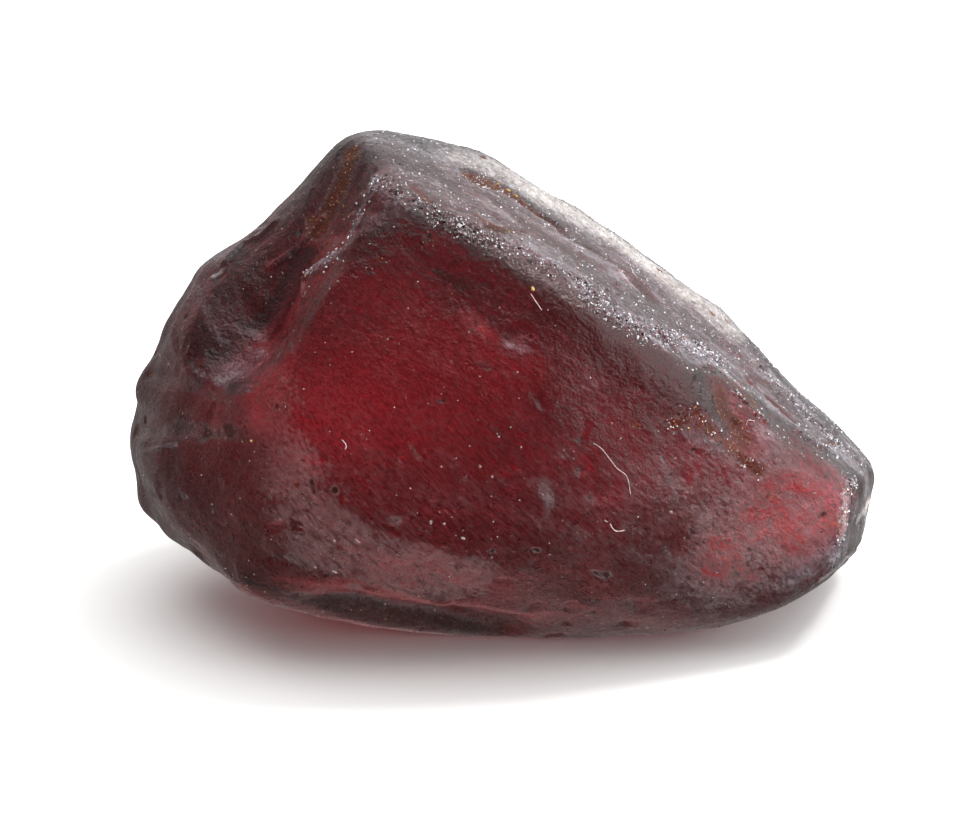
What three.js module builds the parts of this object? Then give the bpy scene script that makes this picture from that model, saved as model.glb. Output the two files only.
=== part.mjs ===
// A rough zircon: one water-worn crystal fragment, 14 mm long, lying on a worn flat of its underside.
//
// Millimetres, +Z up. X runs along the stone, from its blunt end (-X) to its pointed end (+X), and -Y is its front.
// The origin is on the surface it rests on, below the middle of its bounding box.
//
// The body is a solid function: negative inside the stone, positive outside, and about a distance in millimetres.
// Worn facets (planes) are joined with rounded edges, lumps are blended on, ridges and hollows are added as strokes
// of relief, a slow unevenness is added, and the result is cut flat where the stone rests.
// A sphere's vertices are then moved, each along its own ray from the heart of the stone, onto that surface.
import * as THREE from "three";
import { mergeVertices } from "three/addons/utils/BufferGeometryUtils.js";
import { ImprovedNoise } from "three/addons/math/ImprovedNoise.js";

// Driving dimensions, in millimetres.
const HALF_SIZE = new THREE.Vector3(7.0, 4.5, 4.5);
const HEART = new THREE.Vector3(0, 0.2, 4.2);
const SPHERE_DETAIL = 19;
const FARTHEST_REACH = 9;
const SEARCH_STEP = 0.1;

// Slow unevenness of the worn skin: its height and the length of one swell.
const SWELLS = [
  { height: 0.1, length: 2.6 },
  { height: 0.05, length: 1.1 },
];

// Each facet is a plane through a point of the surface, facing outwards, with the width its edges are worn over.
const FACETS = [
  { name: "front", through: [-0.6, -4.3, 4.4], facing: [-0.03, -0.91, 0.4], wear: 0.7 },
  { name: "front left", through: [-4.9, -3.1, 4.4], facing: [-0.62, -0.76, 0.2], wear: 1.0 },
  { name: "front right", through: [5.0, -2.8, 2.8], facing: [0.42, -0.88, 0.2], wear: 1.2 },
  { name: "front below", through: [0.5, -4.3, 3.0], facing: [0.0, -0.97, -0.22], wear: 1.2 },
  { name: "front underside", through: [0.6, -3.2, 1.08], facing: [0.0, -0.7, -0.71], wear: 0.8 },
  { name: "crown", through: [-2.5, 0.6, 9.15], facing: [0.06, 0.1, 1.0], wear: 0.35 },
  { name: "crown slope", through: [-1.0, 0.8, 8.64], facing: [0.36, 0.02, 0.93], wear: 0.5 },
  { name: "upper slope", through: [1.0, 0.8, 7.68], facing: [0.49, -0.02, 0.87], wear: 0.6 },
  { name: "middle slope", through: [2.9, 0.8, 6.22], facing: [0.62, -0.02, 0.78], wear: 0.6 },
  { name: "lower slope", through: [5.0, 0.6, 4.7], facing: [0.7, 0.0, 0.71], wear: 0.6 },
  { name: "far slope", through: [1.5, 2.3, 7.22], facing: [0.48, 0.5, 0.72], wear: 0.6 },
  { name: "crown back", through: [-2.6, 2.0, 8.6], facing: [-0.1, 0.6, 0.8], wear: 0.7 },
  { name: "upper left", through: [-4.0, 0.5, 7.94], facing: [-0.68, -0.31, 0.66], wear: 0.3 },
  { name: "upper left back", through: [-4.0, 0.5, 7.94], facing: [-0.7, 0.22, 0.67], wear: 0.3 },
  { name: "blunt end", through: [-7.05, 0.2, 3.0], facing: [-0.87, -0.48, 0.0], wear: 0.45 },
  { name: "blunt end top", through: [-6.12, 0.3, 5.7], facing: [-0.85, -0.3, 0.44], wear: 0.5 },
  { name: "left underside", through: [-5.8, -0.8, 1.12], facing: [-0.5, -0.3, -0.81], wear: 0.4 },
  { name: "left heel", through: [-3.6, -1.8, 0.25], facing: [-0.17, -0.3, -0.94], wear: 0.6 },
  { name: "right underside", through: [5.0, -1.6, 0.36], facing: [0.24, -0.28, -0.93], wear: 0.6 },
  { name: "point underside", through: [6.3, -1.0, 0.97], facing: [0.54, -0.3, -0.78], wear: 0.4 },
  { name: "point top", through: [6.72, 0.6, 3.3], facing: [0.86, 0.0, 0.5], wear: 0.4 },
  { name: "point", through: [7.05, 0.3, 2.0], facing: [0.93, -0.3, -0.12], wear: 0.15 },
  { name: "back", through: [0.0, 4.4, 4.0], facing: [0.05, 0.97, 0.12], wear: 1.0 },
  { name: "back left", through: [-4.8, 3.0, 4.0], facing: [-0.66, 0.74, 0.1], wear: 1.0 },
  { name: "back right", through: [4.6, 2.9, 3.0], facing: [0.5, 0.85, 0.05], wear: 0.9 },
  { name: "back underside", through: [0.0, 2.5, 0.9], facing: [0.05, 0.62, -0.78], wear: 1.0 },
  { name: "back heel", through: [-3.6, 1.9, 0.75], facing: [-0.44, 0.4, -0.8], wear: 0.9 },
];

// Each lump is an ellipsoid blended onto the facets.
const LUMPS = [
  { name: "left shoulder", at: [-4.75, 0.3, 5.08], radii: [1.34, 2.3, 1.6], blend: 0.8 },
  { name: "left waist", at: [-5.2, -0.1, 3.1], radii: [1.62, 2.6, 1.3], blend: 0.8 },
];

// Each stroke of relief follows points of the surface. It stands proud by its height there, or sinks in where the
// height is negative, and fades out over its radius.
const RELIEF = [
  {
    name: "crown hollow",
    path: [
      { at: [-2.9, -1.0, 8.5], radius: 0.7, height: -0.14 },
      { at: [-4.1, -1.6, 7.2], radius: 1.1, height: -0.36 },
      { at: [-4.8, -2.0, 6.2], radius: 1.5, height: -0.75 },
      { at: [-5.3, -2.4, 5.2], radius: 0.9, height: -0.1 },
    ],
  },
  {
    name: "ledge",
    path: [
      { at: [-2.5, -1.2, 8.7], radius: 0.35, height: 0.12 },
      { at: [-3.3, -2.0, 7.85], radius: 0.35, height: 0.14 },
      { at: [-4.2, -1.6, 7.2], radius: 0.4, height: 0.06 },
    ],
  },
  {
    name: "ledge groove",
    path: [
      { at: [-2.6, -1.8, 8.4], radius: 0.3, height: -0.1 },
      { at: [-3.3, -2.45, 7.55], radius: 0.45, height: -0.3 },
      { at: [-3.9, -2.6, 6.8], radius: 0.8, height: -0.3 },
    ],
  },
  {
    name: "front ridge",
    path: [
      { at: [-2.35, -1.7, 8.7], radius: 0.35, height: 0.06 },
      { at: [-2.66, -2.4, 8.2], radius: 0.35, height: 0.12 },
      { at: [-3.1, -2.75, 7.5], radius: 0.4, height: 0.12 },
      { at: [-3.5, -2.8, 7.0], radius: 0.4, height: 0.06 },
    ],
  },
  {
    name: "cleft",
    path: [
      { at: [3.75, -2.6, 5.3], radius: 0.55, height: -0.2 },
      { at: [4.2, -2.7, 4.7], radius: 0.7, height: -0.32 },
    ],
  },
  {
    name: "cleft side",
    path: [
      { at: [4.6, -2.2, 4.95], radius: 0.4, height: -0.14 },
      { at: [5.4, -2.2, 4.1], radius: 0.3, height: -0.12 },
    ],
  },
  {
    name: "shoulder crack",
    path: [
      { at: [-0.3, -0.7, 8.5], radius: 0.35, height: -0.12 },
      { at: [0.72, -0.8, 8.0], radius: 0.35, height: -0.14 },
      { at: [1.7, -1.5, 7.35], radius: 0.3, height: -0.08 },
    ],
  },
  {
    name: "point notch",
    path: [
      { at: [6.9, -1.3, 1.6], radius: 0.35, height: -0.16 },
      { at: [7.1, 0.6, 1.5], radius: 0.5, height: -0.22 },
    ],
  },
  {
    name: "top dip",
    path: [
      { at: [-0.1, 2.4, 7.9], radius: 0.6, height: -0.08 },
      { at: [0.9, 2.2, 7.4], radius: 0.6, height: -0.08 },
    ],
  },
  {
    name: "blunt end dip",
    path: [
      { at: [-6.6, 0.3, 5.2], radius: 0.6, height: -0.16 },
      { at: [-6.2, 0.6, 6.0], radius: 0.7, height: -0.18 },
    ],
  },
  {
    name: "heel corner",
    path: [
      { at: [-6.9, -0.2, 2.0], radius: 0.6, height: 0.16 },
      { at: [-6.7, 0.6, 1.9], radius: 0.6, height: 0.1 },
    ],
  },
  {
    name: "far dip",
    path: [
      { at: [2.9, 2.2, 6.15], radius: 0.7, height: -0.1 },
      { at: [3.6, 2.3, 5.6], radius: 0.7, height: -0.2 },
    ],
  },
  {
    name: "point dip",
    path: [
      { at: [4.9, 1.8, 4.6], radius: 0.8, height: -0.06 },
      { at: [5.4, 1.8, 4.1], radius: 0.8, height: -0.14 },
      { at: [6.0, 1.3, 3.6], radius: 0.6, height: -0.08 },
    ],
  },
  {
    name: "heel dip",
    path: [
      { at: [-6.1, -1.6, 1.5], radius: 0.7, height: -0.12 },
      { at: [-5.5, -2.3, 1.6], radius: 0.8, height: -0.22 },
      { at: [-5.1, -2.9, 1.6], radius: 0.5, height: -0.06 },
    ],
  },
  {
    name: "left cheek",
    path: [
      { at: [-6.8, 0.2, 4.2], radius: 0.6, height: 0.14 },
      { at: [-6.1, -1.6, 4.6], radius: 0.7, height: 0.08 },
    ],
  },
  {
    name: "waist crease",
    path: [
      { at: [-7.0, 0.3, 3.6], radius: 0.45, height: -0.12 },
      { at: [-5.9, -1.5, 3.9], radius: 0.45, height: -0.16 },
      { at: [-5.0, -2.6, 4.45], radius: 0.4, height: -0.14 },
    ],
  },
  {
    name: "undercut lip",
    path: [
      { at: [-2.8, -3.8, 2.1], radius: 0.5, height: 0.08 },
      { at: [-1.6, -3.7, 1.8], radius: 0.6, height: 0.14 },
      { at: [0.0, -3.3, 1.2], radius: 0.5, height: 0.06 },
    ],
  },
  {
    name: "undercut",
    path: [
      { at: [-2.8, -3.3, 1.4], radius: 0.8, height: -0.4 },
      { at: [-1.4, -3.0, 1.0], radius: 0.9, height: -0.45 },
      { at: [0.0, -2.6, 0.5], radius: 0.8, height: -0.3 },
    ],
  },
];

const noise = new ImprovedNoise();

/** The larger of a and b, with the crease between them rounded over a width. */
function roundedMax(a, b, width) {
  const overlap = Math.max(width - Math.abs(a - b), 0);
  return Math.max(a, b) + (overlap * overlap) / (4 * width);
}

/** The smaller of a and b, with the crease between them filled over a width. */
const filledMin = (a, b, width) => -roundedMax(-a, -b, width);

/** Height above a facet's plane. */
function facetHeight(p, facet) {
  return facet.normal.dot(p) - facet.offset;
}

/** About the distance to an ellipsoid. */
function ellipsoidDistance(p, centre, radii) {
  const scaled = p.clone().sub(centre).divide(radii);
  const steep = scaled.clone().divide(radii).length();
  const length = scaled.length();
  return steep === 0 ? -Math.min(...radii) : (length * (length - 1)) / steep;
}

/** The height of one stretch of a stroke at a point: full along its line, fading to nothing at its radius. */
function stretchHeight(p, { start, end }) {
  const along = end.at.clone().sub(start.at);
  const share = THREE.MathUtils.clamp(p.clone().sub(start.at).dot(along) / along.lengthSq(), 0, 1);
  const apart = p.distanceTo(start.at.clone().addScaledVector(along, share));
  const near = 1 - (apart / THREE.MathUtils.lerp(start.radius, end.radius, share)) ** 2;
  return near > 0 ? THREE.MathUtils.lerp(start.height, end.height, share) * near ** 2 : 0;
}

/** The height of a whole stroke at a point: that of its strongest stretch. */
function strokeHeight(p, stroke) {
  const heights = stroke.map((stretch) => stretchHeight(p, stretch));
  return heights.reduce((strongest, height) => (Math.abs(height) > Math.abs(strongest) ? height : strongest));
}

const facets = FACETS.map(({ through, facing, wear }) => {
  const normal = new THREE.Vector3(...facing).normalize();
  return { normal, offset: normal.dot(new THREE.Vector3(...through)), wear };
});
const lumps = LUMPS.map(({ at, radii, blend }) => {
  return { centre: new THREE.Vector3(...at), radii: new THREE.Vector3(...radii), blend };
});
const strokes = RELIEF.map(({ path }) => {
  const points = path.map(({ at, radius, height }) => ({ at: new THREE.Vector3(...at), radius, height }));
  return points.slice(1).map((end, i) => ({ start: points[i], end }));
});

/** The stone's solid function at a point. */
function stone(p) {
  let height = facetHeight(p, facets[0]);
  for (const facet of facets.slice(1)) height = roundedMax(height, facetHeight(p, facet), facet.wear);
  for (const lump of lumps) height = filledMin(height, ellipsoidDistance(p, lump.centre, lump.radii), lump.blend);
  for (const stroke of strokes) height -= strokeHeight(p, stroke);
  for (const { height: swell, length } of SWELLS) {
    height += swell * noise.noise(p.x / length + 3, p.y / length + 7, p.z / length + 1);
  }
  return Math.max(height, -p.z);
}

/** How far from the heart the surface lies in a direction, found from the outside in. */
function reach(direction) {
  const at = (distance) => stone(HEART.clone().addScaledVector(direction, distance));
  let outside = FARTHEST_REACH;
  while (at(outside - SEARCH_STEP) > 0) outside -= SEARCH_STEP;
  let inside = outside - SEARCH_STEP;
  for (let halving = 0; halving < 16; halving++) {
    const middle = (inside + outside) / 2;
    if (at(middle) > 0) outside = middle;
    else inside = middle;
  }
  return inside;
}

/** The stone's surface as one closed mesh, centred over the origin. */
function stoneGeometry() {
  const sphere = new THREE.IcosahedronGeometry(1, SPHERE_DETAIL);
  sphere.deleteAttribute("normal");
  sphere.deleteAttribute("uv");
  const geometry = mergeVertices(sphere, 1e-5);
  const position = geometry.getAttribute("position");
  const direction = new THREE.Vector3();
  for (let i = 0; i < position.count; i++) {
    direction.fromBufferAttribute(position, i).multiply(HALF_SIZE).normalize();
    const point = HEART.clone().addScaledVector(direction, reach(direction));
    if (point.z < 0.002) point.z = 0;
    position.setXYZ(i, point.x, point.y, point.z);
  }
  geometry.computeBoundingBox();
  const middle = geometry.boundingBox.getCenter(new THREE.Vector3());
  geometry.translate(-middle.x, -middle.y, 0);
  geometry.computeVertexNormals();
  return geometry;
}

const zircon = new THREE.Mesh(
  stoneGeometry(),
  new THREE.MeshStandardMaterial({ color: 0x6a262c, roughness: 0.45, metalness: 0 }),
);
zircon.name = "zircon";

const group = new THREE.Group();
group.add(zircon);
export default group;
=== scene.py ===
"""A rough zircon: one water-worn, frosted, deep red crystal fragment, lying on its worn flat on a pale floor.

Sizes are given in millimetres and turned into metres where a mesh is made. X runs from the blunt end to the
point, -Y is the broad red front and +Z is up.
"""

import logging
import math
from dataclasses import dataclass, field
from enum import Enum

import bmesh
import bpy
import numpy as np
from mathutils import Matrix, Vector, noise
from mathutils.bvhtree import BVHTree


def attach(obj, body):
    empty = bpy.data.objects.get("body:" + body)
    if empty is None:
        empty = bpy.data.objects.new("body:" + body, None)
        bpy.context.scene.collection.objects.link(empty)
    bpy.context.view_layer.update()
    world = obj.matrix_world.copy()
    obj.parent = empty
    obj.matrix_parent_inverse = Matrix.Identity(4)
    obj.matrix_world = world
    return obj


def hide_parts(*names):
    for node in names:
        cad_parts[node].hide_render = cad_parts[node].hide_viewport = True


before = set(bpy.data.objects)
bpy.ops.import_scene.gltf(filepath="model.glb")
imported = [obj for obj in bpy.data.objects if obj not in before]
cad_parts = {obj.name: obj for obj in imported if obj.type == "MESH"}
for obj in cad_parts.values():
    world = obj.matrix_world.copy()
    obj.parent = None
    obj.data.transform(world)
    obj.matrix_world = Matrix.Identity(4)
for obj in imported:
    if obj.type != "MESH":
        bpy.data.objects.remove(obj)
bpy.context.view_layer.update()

MM = 0.001
LOG = logging.getLogger("zircon")

Place = tuple[float, float, float]
Spot = tuple[float, float]
Colour = tuple[float, float, float]
Socket = bpy.types.NodeSocket


class Shape(Enum):
    """How a mark is shaped across its line."""

    ROUND = "round"
    SHARP = "sharp"
    FLAT = "flat"


class Layer(Enum):
    """The kinds of wear and dirt that are painted on the skin, with the painted shade, sheen and glow that
    share their masks.
    """

    FROST = "frost"
    # pale chalky deposit, and painted sheen and highlights on the far top edge, the bump and the point
    CHALK_AND_SHEEN = "chalk_and_sheen"
    RUST = "rust"
    # grime in pits and cracks, and painted shade under ledges, in the undercut and in hollows
    GRIME_AND_SHADE = "grime_and_shade"
    GLINT = "glint"
    # darker body, partly real and partly painted shade that dims the red glow in hollows, under edges and on
    # the top
    DEEP = "deep"
    # painted glow: a rosy red colour that stands in for red light shining through the body
    PAINTED_GLOW = "painted_glow"


FROST, CHALK_AND_SHEEN, RUST, GRIME_AND_SHADE, GLINT, DEEP, PAINTED_GLOW = Layer
Paint = dict[Layer, float]


@dataclass(frozen=True)
class FrontView:
    """Where the stone is looked at from: in front, and a little from above."""

    target: Place = (-0.29, -0.168, 3.87)
    distance: float = 51.5
    elevation: float = 22.0

    def back(self) -> Vector:
        """The direction from the stone to the eye."""
        angle = math.radians(self.elevation)
        return Vector((0, -math.cos(angle), math.sin(angle)))

    def eye(self) -> Vector:
        """The eye's place in millimetres."""
        return Vector(self.target) + self.back() * self.distance

    def toward(self, across: float, up: float) -> Vector:
        """The direction from the eye to a spot of the view, in millimetres across and up from its middle."""
        spot = Vector(self.target) + Vector((across, 0, 0)) + self.back().cross(Vector((1, 0, 0))) * up
        return (spot - self.eye()).normalized()


@dataclass(frozen=True)
class Mark:
    """A line or spot of relief and paint on the front of the stone.

    The path is in millimetres across and up, as seen in the front view. The width is from the line to its
    edge, and may change along it. The paint adds to the masks, or takes from them where it is negative. The
    rise is how far the line stands proud, and sinks where it is negative.
    """

    name: str
    path: tuple[Spot, ...]
    width: float
    paint: Paint
    rise: float = 0.0
    shape: Shape = Shape.ROUND
    end_width: float | None = None


@dataclass(frozen=True)
class Facing:
    """Wear, painted shade and painted sheen on every face that looks one way: full from one cosine on, and
    none under another.
    """

    layer: Layer
    toward: Place
    starts: float
    full: float
    amount: float


@dataclass(frozen=True)
class StrewnMarks:
    """Marks strewn over the whole stone with a fixed seed."""

    name: str
    seed: int
    count: int
    length: tuple[float, float]
    width: tuple[float, float]
    rise: tuple[float, float]
    paint: Paint = field(default_factory=dict)
    lie: Place | None = None
    stray: float = 0.35
    taper: float = 0.7


def ring(across: float, up: float, radius: float, sides: int = 10) -> tuple[Spot, ...]:
    """Makes a round path.

    Args:
        across: The middle's place across, in millimetres.
        up: The middle's place up.
        radius: The path's radius.
        sides: How many straight steps it has.

    Returns:
        The path, closed.
    """
    turns = [math.tau * step / sides for step in range(sides + 1)]
    return tuple((across + radius * math.cos(turn), up + radius * math.sin(turn)) for turn in turns)


MARKS = (
    # the crown and the hollow beside it
    Mark("brown stain", ((-2.63, 4.83), (-2.67, 4.59), (-2.91, 3.96), (-3.22, 3.36)),
         0.42, {RUST: 0.42}, -0.03),
    Mark("crown brown", ((-2.67, 4.78),), 0.17, {RUST: 0.45}, -0.02),
    Mark("lower brown", ((-3.39, 3.53),), 0.19, {RUST: 0.4}, -0.02),
    Mark("rust groove", ((-2.21, 4.49), (-2.48, 3.81), (-2.82, 3.57), (-3.33, 2.81)),
         0.09, {RUST: 0.4, GRIME_AND_SHADE: 0.15}, -0.04),
    Mark("hollow pit", ((-3.58, 3.32),), 0.11, {GRIME_AND_SHADE: 0.45}, -0.04),
    Mark("upper ledge", ((-3.16, 3.58), (-3.59, 3.04), (-4.16, 2.64)), 0.11, {FROST: 0.5}, 0.05),
    Mark("lower ledge", ((-2.16, 4.32), (-2.48, 3.58), (-2.76, 2.98), (-3.44, 2.53)),
         0.19, {FROST: 0.5, GLINT: 0.35}, 0.05),
    Mark("ledge foot", ((-3.44, 2.53), (-3.54, 2.36), (-3.56, 2.11)), 0.08, {FROST: 0.35, RUST: 0.3}, 0.04),
    Mark("shade under the ledge", ((-3.59, 2.75), (-3.82, 2.22), (-4.16, 1.62)),
         0.49, {GRIME_AND_SHADE: 0.12, DEEP: 0.8}, -0.05),
    # painted shade: the hollow beside the ledge is darkened
    Mark("dark hollow", ((-3.56, 2.7), (-3.88, 2.19), (-4.2, 1.62)), 0.57, {DEEP: 0.8, GRIME_AND_SHADE: 0.05}, -0.02),
    # painted glow: a mauve haze and rosy colour lighten the hollow
    Mark("hollow veil", ((-5.2, 2.03), (-4.88, 1.47)), 0.76, {FROST: 0.2, PAINTED_GLOW: 0.12}),
    Mark("hollow line", ((-3.39, 4.11), (-3.48, 3.85), (-3.54, 3.58)), 0.09, {FROST: 0.5}, 0.02),
    Mark("outer band", ((-4.2, 3.51), (-3.78, 3.93), (-3.37, 4.49), (-2.99, 4.91)), 0.23, {FROST: 0.5}),
    Mark("outer ledge", ((-5.01, 2.75), (-4.65, 3.11), (-4.31, 3.24), (-4.05, 3.51)),
         0.15, {FROST: 0.6, CHALK_AND_SHEEN: 0.2}, 0.05),
    Mark("outer gleam", ((-5.24, 2.47), (-5.07, 2.56)), 0.11, {FROST: 0.6, CHALK_AND_SHEEN: 0.45}, 0.03),
    Mark("crown crater", ((-1.8, 4.1),), 0.17, {GRIME_AND_SHADE: 0.3, GLINT: 0.8}, -0.05),
    Mark("crown brown ticks", ((-1.48, 4.21), (-1.32, 4.06), (-1.19, 3.93)),
         0.13, {RUST: 0.4, GRIME_AND_SHADE: 0.15}, -0.03),
    Mark("dark patch of the top", ((0.19, 3.83), (0.76, 3.43), (1.32, 3.09)),
         0.3, {GRIME_AND_SHADE: 0.1, FROST: -0.3}),
    Mark("second dark patch", ((-1.32, 4.72), (-0.98, 4.46), (-0.72, 4.11)),
         0.34, {GRIME_AND_SHADE: 0.1, FROST: -0.25}),
    Mark("third dark patch", ((2.84, 2.3), (3.03, 2.03)), 0.38, {GRIME_AND_SHADE: 0.1, FROST: -0.3}),
    Mark("brown speckle", ((-0.26, 3.58), (0.19, 3.36), (0.57, 3.28)), 0.19, {RUST: 0.3, GRIME_AND_SHADE: 0.15}),
    Mark("pale streak", ((-1.8, 4.59), (-1.14, 4.3), (-0.38, 3.81), (0.38, 3.43), (1.32, 2.87)),
         0.26, {FROST: 0.18}),
    # less frost, and painted shade in the body down the left slope
    Mark("left slope", ((-3.18, 4.68), (-4.07, 3.26), (-5.01, 2.22), (-5.68, 1.09)),
         1.17, {FROST: -0.4, DEEP: 0.3}),
    # painted shade: the valley beside the crown is darkened
    Mark("crown valley", ((-0.83, 4.87), (-0.76, 4.4), (-0.57, 3.98)), 0.42, {GRIME_AND_SHADE: 0.12}, -0.03),
    # the long gold crack and its neighbours on the top slope
    Mark("gold crack", ((-0.26, 4.34), (0.09, 4.25), (0.44, 4.06), (0.79, 3.79), (1.21, 3.51)),
         0.45, {RUST: 0.9, GRIME_AND_SHADE: 0.3, GLINT: 0.8, CHALK_AND_SHEEN: -1.0}, -0.14, Shape.ROUND, 0.26),
    Mark("gold crack end", ((1.21, 3.51), (1.48, 3.28), (1.85, 3.06), (2.23, 2.85)),
         0.26, {RUST: 0.4, GRIME_AND_SHADE: 0.45, CHALK_AND_SHEEN: -0.5}, -0.06, Shape.ROUND, 0.15),
    Mark("short crack", ((-0.06, 3.41), (0.21, 3.34), (0.64, 3.38)), 0.15, {RUST: 0.4, GRIME_AND_SHADE: 0.35}, -0.04),
    Mark("slit", ((-0.98, 2.58), (-0.78, 2.45), (-0.51, 2.28)), 0.11, {GRIME_AND_SHADE: 0.85, FROST: -0.5}),
    Mark("front crater", ((-1.15, 3.23),), 0.11, {GRIME_AND_SHADE: 0.3, RUST: 0.2}, -0.01),
    Mark("front crater rim", ring(-1.15, 3.23, 0.15), 0.06, {CHALK_AND_SHEEN: 0.2, RUST: 0.2}, 0.01),
    Mark("red window over the crater", ((-1.27, 3.41), (-1.02, 3.41)), 0.09, {FROST: -1.0}),
    # painted shadow: a dark spot in the far hollow
    Mark("far hollow", ((2.76, 2.34), (3.03, 2.07)), 0.3, {FROST: -0.3, GRIME_AND_SHADE: 0.15}, -0.05),
    Mark("near pale ledge", ((2.33, 2.66), (2.59, 2.41), (2.82, 2.2)),
         0.11, {CHALK_AND_SHEEN: 0.35, FROST: 0.3}, 0.03),
    Mark("far groove", ((3.63, 2.36), (3.97, 2.13), (4.41, 1.88)), 0.13, {RUST: 0.3, GRIME_AND_SHADE: 0.3}, -0.05),
    # painted sheen: a pale band along the far top edge
    Mark("far pale band", ((-0.53, 4.72), (0.19, 4.46), (1.32, 3.85), (2.46, 3.15), (3.59, 2.26),
         (4.5, 1.6)),
         1.06, {CHALK_AND_SHEEN: 0.49}),
    Mark("far pale edge", ((1.25, 3.83), (2.46, 3.13), (3.59, 2.22)), 1.82, {CHALK_AND_SHEEN: 0.14}),
    Mark("shoulder glitter", ((1.85, 2.22), (2.19, 1.88), (2.91, 1.47), (3.71, 1.24), (4.24, 0.96)),
         0.49, {GLINT: 0.9, FROST: 0.2}),
    Mark("upper glitter", ((-0.95, 3.6), (-0.45, 3.38), (-0.08, 3.21)), 0.3, {GLINT: 0.9}),
    Mark("crown glitter", ((-2.08, 4.3), (-1.8, 4.08), (-1.14, 3.77)), 0.34, {GLINT: 0.45}),
    Mark("shoulder edge glitter", ((0.19, 3.17), (1.04, 2.71), (2.08, 2.22)), 0.45, {GLINT: 0.5}),
    Mark("edge dusk", ((-1.25, 3.32), (-0.19, 2.87), (0.76, 2.49), (1.7, 1.81), (2.84, 0.86)),
         0.51, {FROST: -0.8}),
    Mark("shoulder foot", ((2.27, 1.14), (3.03, 0.79), (3.97, 0.41), (4.73, 0.14)), 0.49, {FROST: -0.75}),
    Mark("grey foot of the slope", ((4.35, 0.43), (5.11, -0.05), (5.86, -0.71), (6.53, -1.18)),
         0.53, {FROST: -0.7, PAINTED_GLOW: 0.08}),
    # painted shade: the body is darkened along the bottom edge
    Mark("bottom rim", ((-4.54, -3.3), (-3.59, -3.66), (-2.65, -3.87), (-1.32, -4.06), (0.19, -4.17)),
         0.38, {DEEP: 0.7, RUST: 0.1, GRIME_AND_SHADE: 0.05, FROST: -0.6}),
    Mark("first red window", ((3.22, 1.39), (3.48, 1.09)),
         0.08, {FROST: -1.0, GLINT: -1.0}, -0.03, Shape.FLAT, 0.13),
    Mark("second red window", ((2.76, 1.52), (2.86, 1.33)),
         0.09, {FROST: -1.0, GLINT: -1.0}, -0.03, Shape.FLAT),
    Mark("third red window", ((1.97, 2.19), (2.01, 2.0)),
         0.11, {FROST: -1.0, GLINT: -1.0}, -0.03, Shape.FLAT),
    # the broken hollow on the right
    Mark("first flat", ((4.48, 0.56), (4.73, 0.33), (4.99, 0.1)),
         0.19, {RUST: 0.5, GRIME_AND_SHADE: 0.24, FROST: -1.5, GLINT: -1.0, CHALK_AND_SHEEN: -1.0}, -0.02, Shape.FLAT, 0.23),
    Mark("second flat", ((4.35, 0.29), (4.39, -0.01), (4.62, -0.31), (4.81, -0.61)),
         0.28, {RUST: 0.5, GRIME_AND_SHADE: 0.24, FROST: -1.5, GLINT: -1.0, CHALK_AND_SHEEN: -1.0}, -0.02, Shape.FLAT, 0.28),
    Mark("ridge between the flats", ((4.65, 0.26), (4.92, -0.01), (5.22, -0.31)),
         0.13, {CHALK_AND_SHEEN: 0.15, FROST: 0.15, GLINT: 0.8}, 0.06, Shape.SHARP),
    Mark("red slit", ((5.26, 0.18), (5.49, -0.01), (5.75, -0.24)), 0.13, {RUST: 0.5, FROST: -0.8}, -0.05),
    Mark("grit line", ((3.52, -0.31), (3.9, -0.09), (4.09, -0.31), (4.39, -0.61), (4.77, -0.96),
         (5.07, -1.18)),
         0.28, {RUST: 0.35, GRIME_AND_SHADE: 0.1, GLINT: 0.3}, -0.01),
    Mark("frost under the grit", ((3.71, -0.54), (4.2, -0.77), (4.69, -0.8)), 0.21, {FROST: 0.3}, 0.02),
    # painted highlight: a bright spot on the bump
    Mark("bright bump", ((5.15, 0.73),), 0.15, {CHALK_AND_SHEEN: 0.7}, 0.08),
    Mark("shade of the bump", ((5.05, 0.56), (5.33, 0.44)), 0.11, {GRIME_AND_SHADE: 0.3, RUST: 0.3}, -0.03),
    Mark("point ridge", ((5.75, -0.44), (6.24, -0.73), (6.66, -0.8)), 0.17, {FROST: 0.3, GLINT: 0.6}, 0.04),
    Mark("brown spot", ((6.32, -0.65), (6.53, -0.67)), 0.11, {RUST: 0.6, GRIME_AND_SHADE: 0.2}, -0.03),
    Mark("right slope haze", ((5.39, 0.48), (6.05, -0.16), (6.72, -0.8)), 0.42, {FROST: -0.1, GLINT: 0.6}),
    # the point; the chalk on its shell, rim, face and sparkle column is partly painted highlight
    Mark("sparkle column", ((6.85, -1.37), (6.7, -1.64), (6.66, -2.11), (6.62, -2.49)),
         0.19, {GLINT: 1.0, CHALK_AND_SHEEN: 0.22, FROST: 0.4}, 0.05),
    Mark("column shade", ((6.87, -1.56), (6.87, -1.84)), 0.13, {GRIME_AND_SHADE: 0.3}, -0.05),
    Mark("point shell", ((6.94, -2.13), (7.11, -1.9), (7.23, -1.67)), 0.23, {CHALK_AND_SHEEN: 0.45}, 0.03),
    Mark("flake rim", ((6.24, -3.26), (6.58, -3.0), (6.91, -2.7), (7.11, -2.49)),
         0.09, {CHALK_AND_SHEEN: 0.5}, 0.04, Shape.SHARP),
    Mark("flake scar", ((6.58, -3.15), (6.91, -2.85)), 0.21, {FROST: 0.5}, -0.04, Shape.FLAT),
    Mark("point underside", ((5.68, -3.3), (6.24, -2.88), (6.72, -2.66)), 0.3, {FROST: 0.45, GRIME_AND_SHADE: 0.12}),
    Mark("point face", ((7.11, -1.18), (7.15, -2.13), (7.0, -2.7)), 0.42, {CHALK_AND_SHEEN: 0.3, FROST: 0.3}),
    Mark("tip haze", ((6.47, -1.18), (6.55, -1.75), (6.58, -2.51)), 0.57, {FROST: 0.55, GRIME_AND_SHADE: 0.05}),
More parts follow.
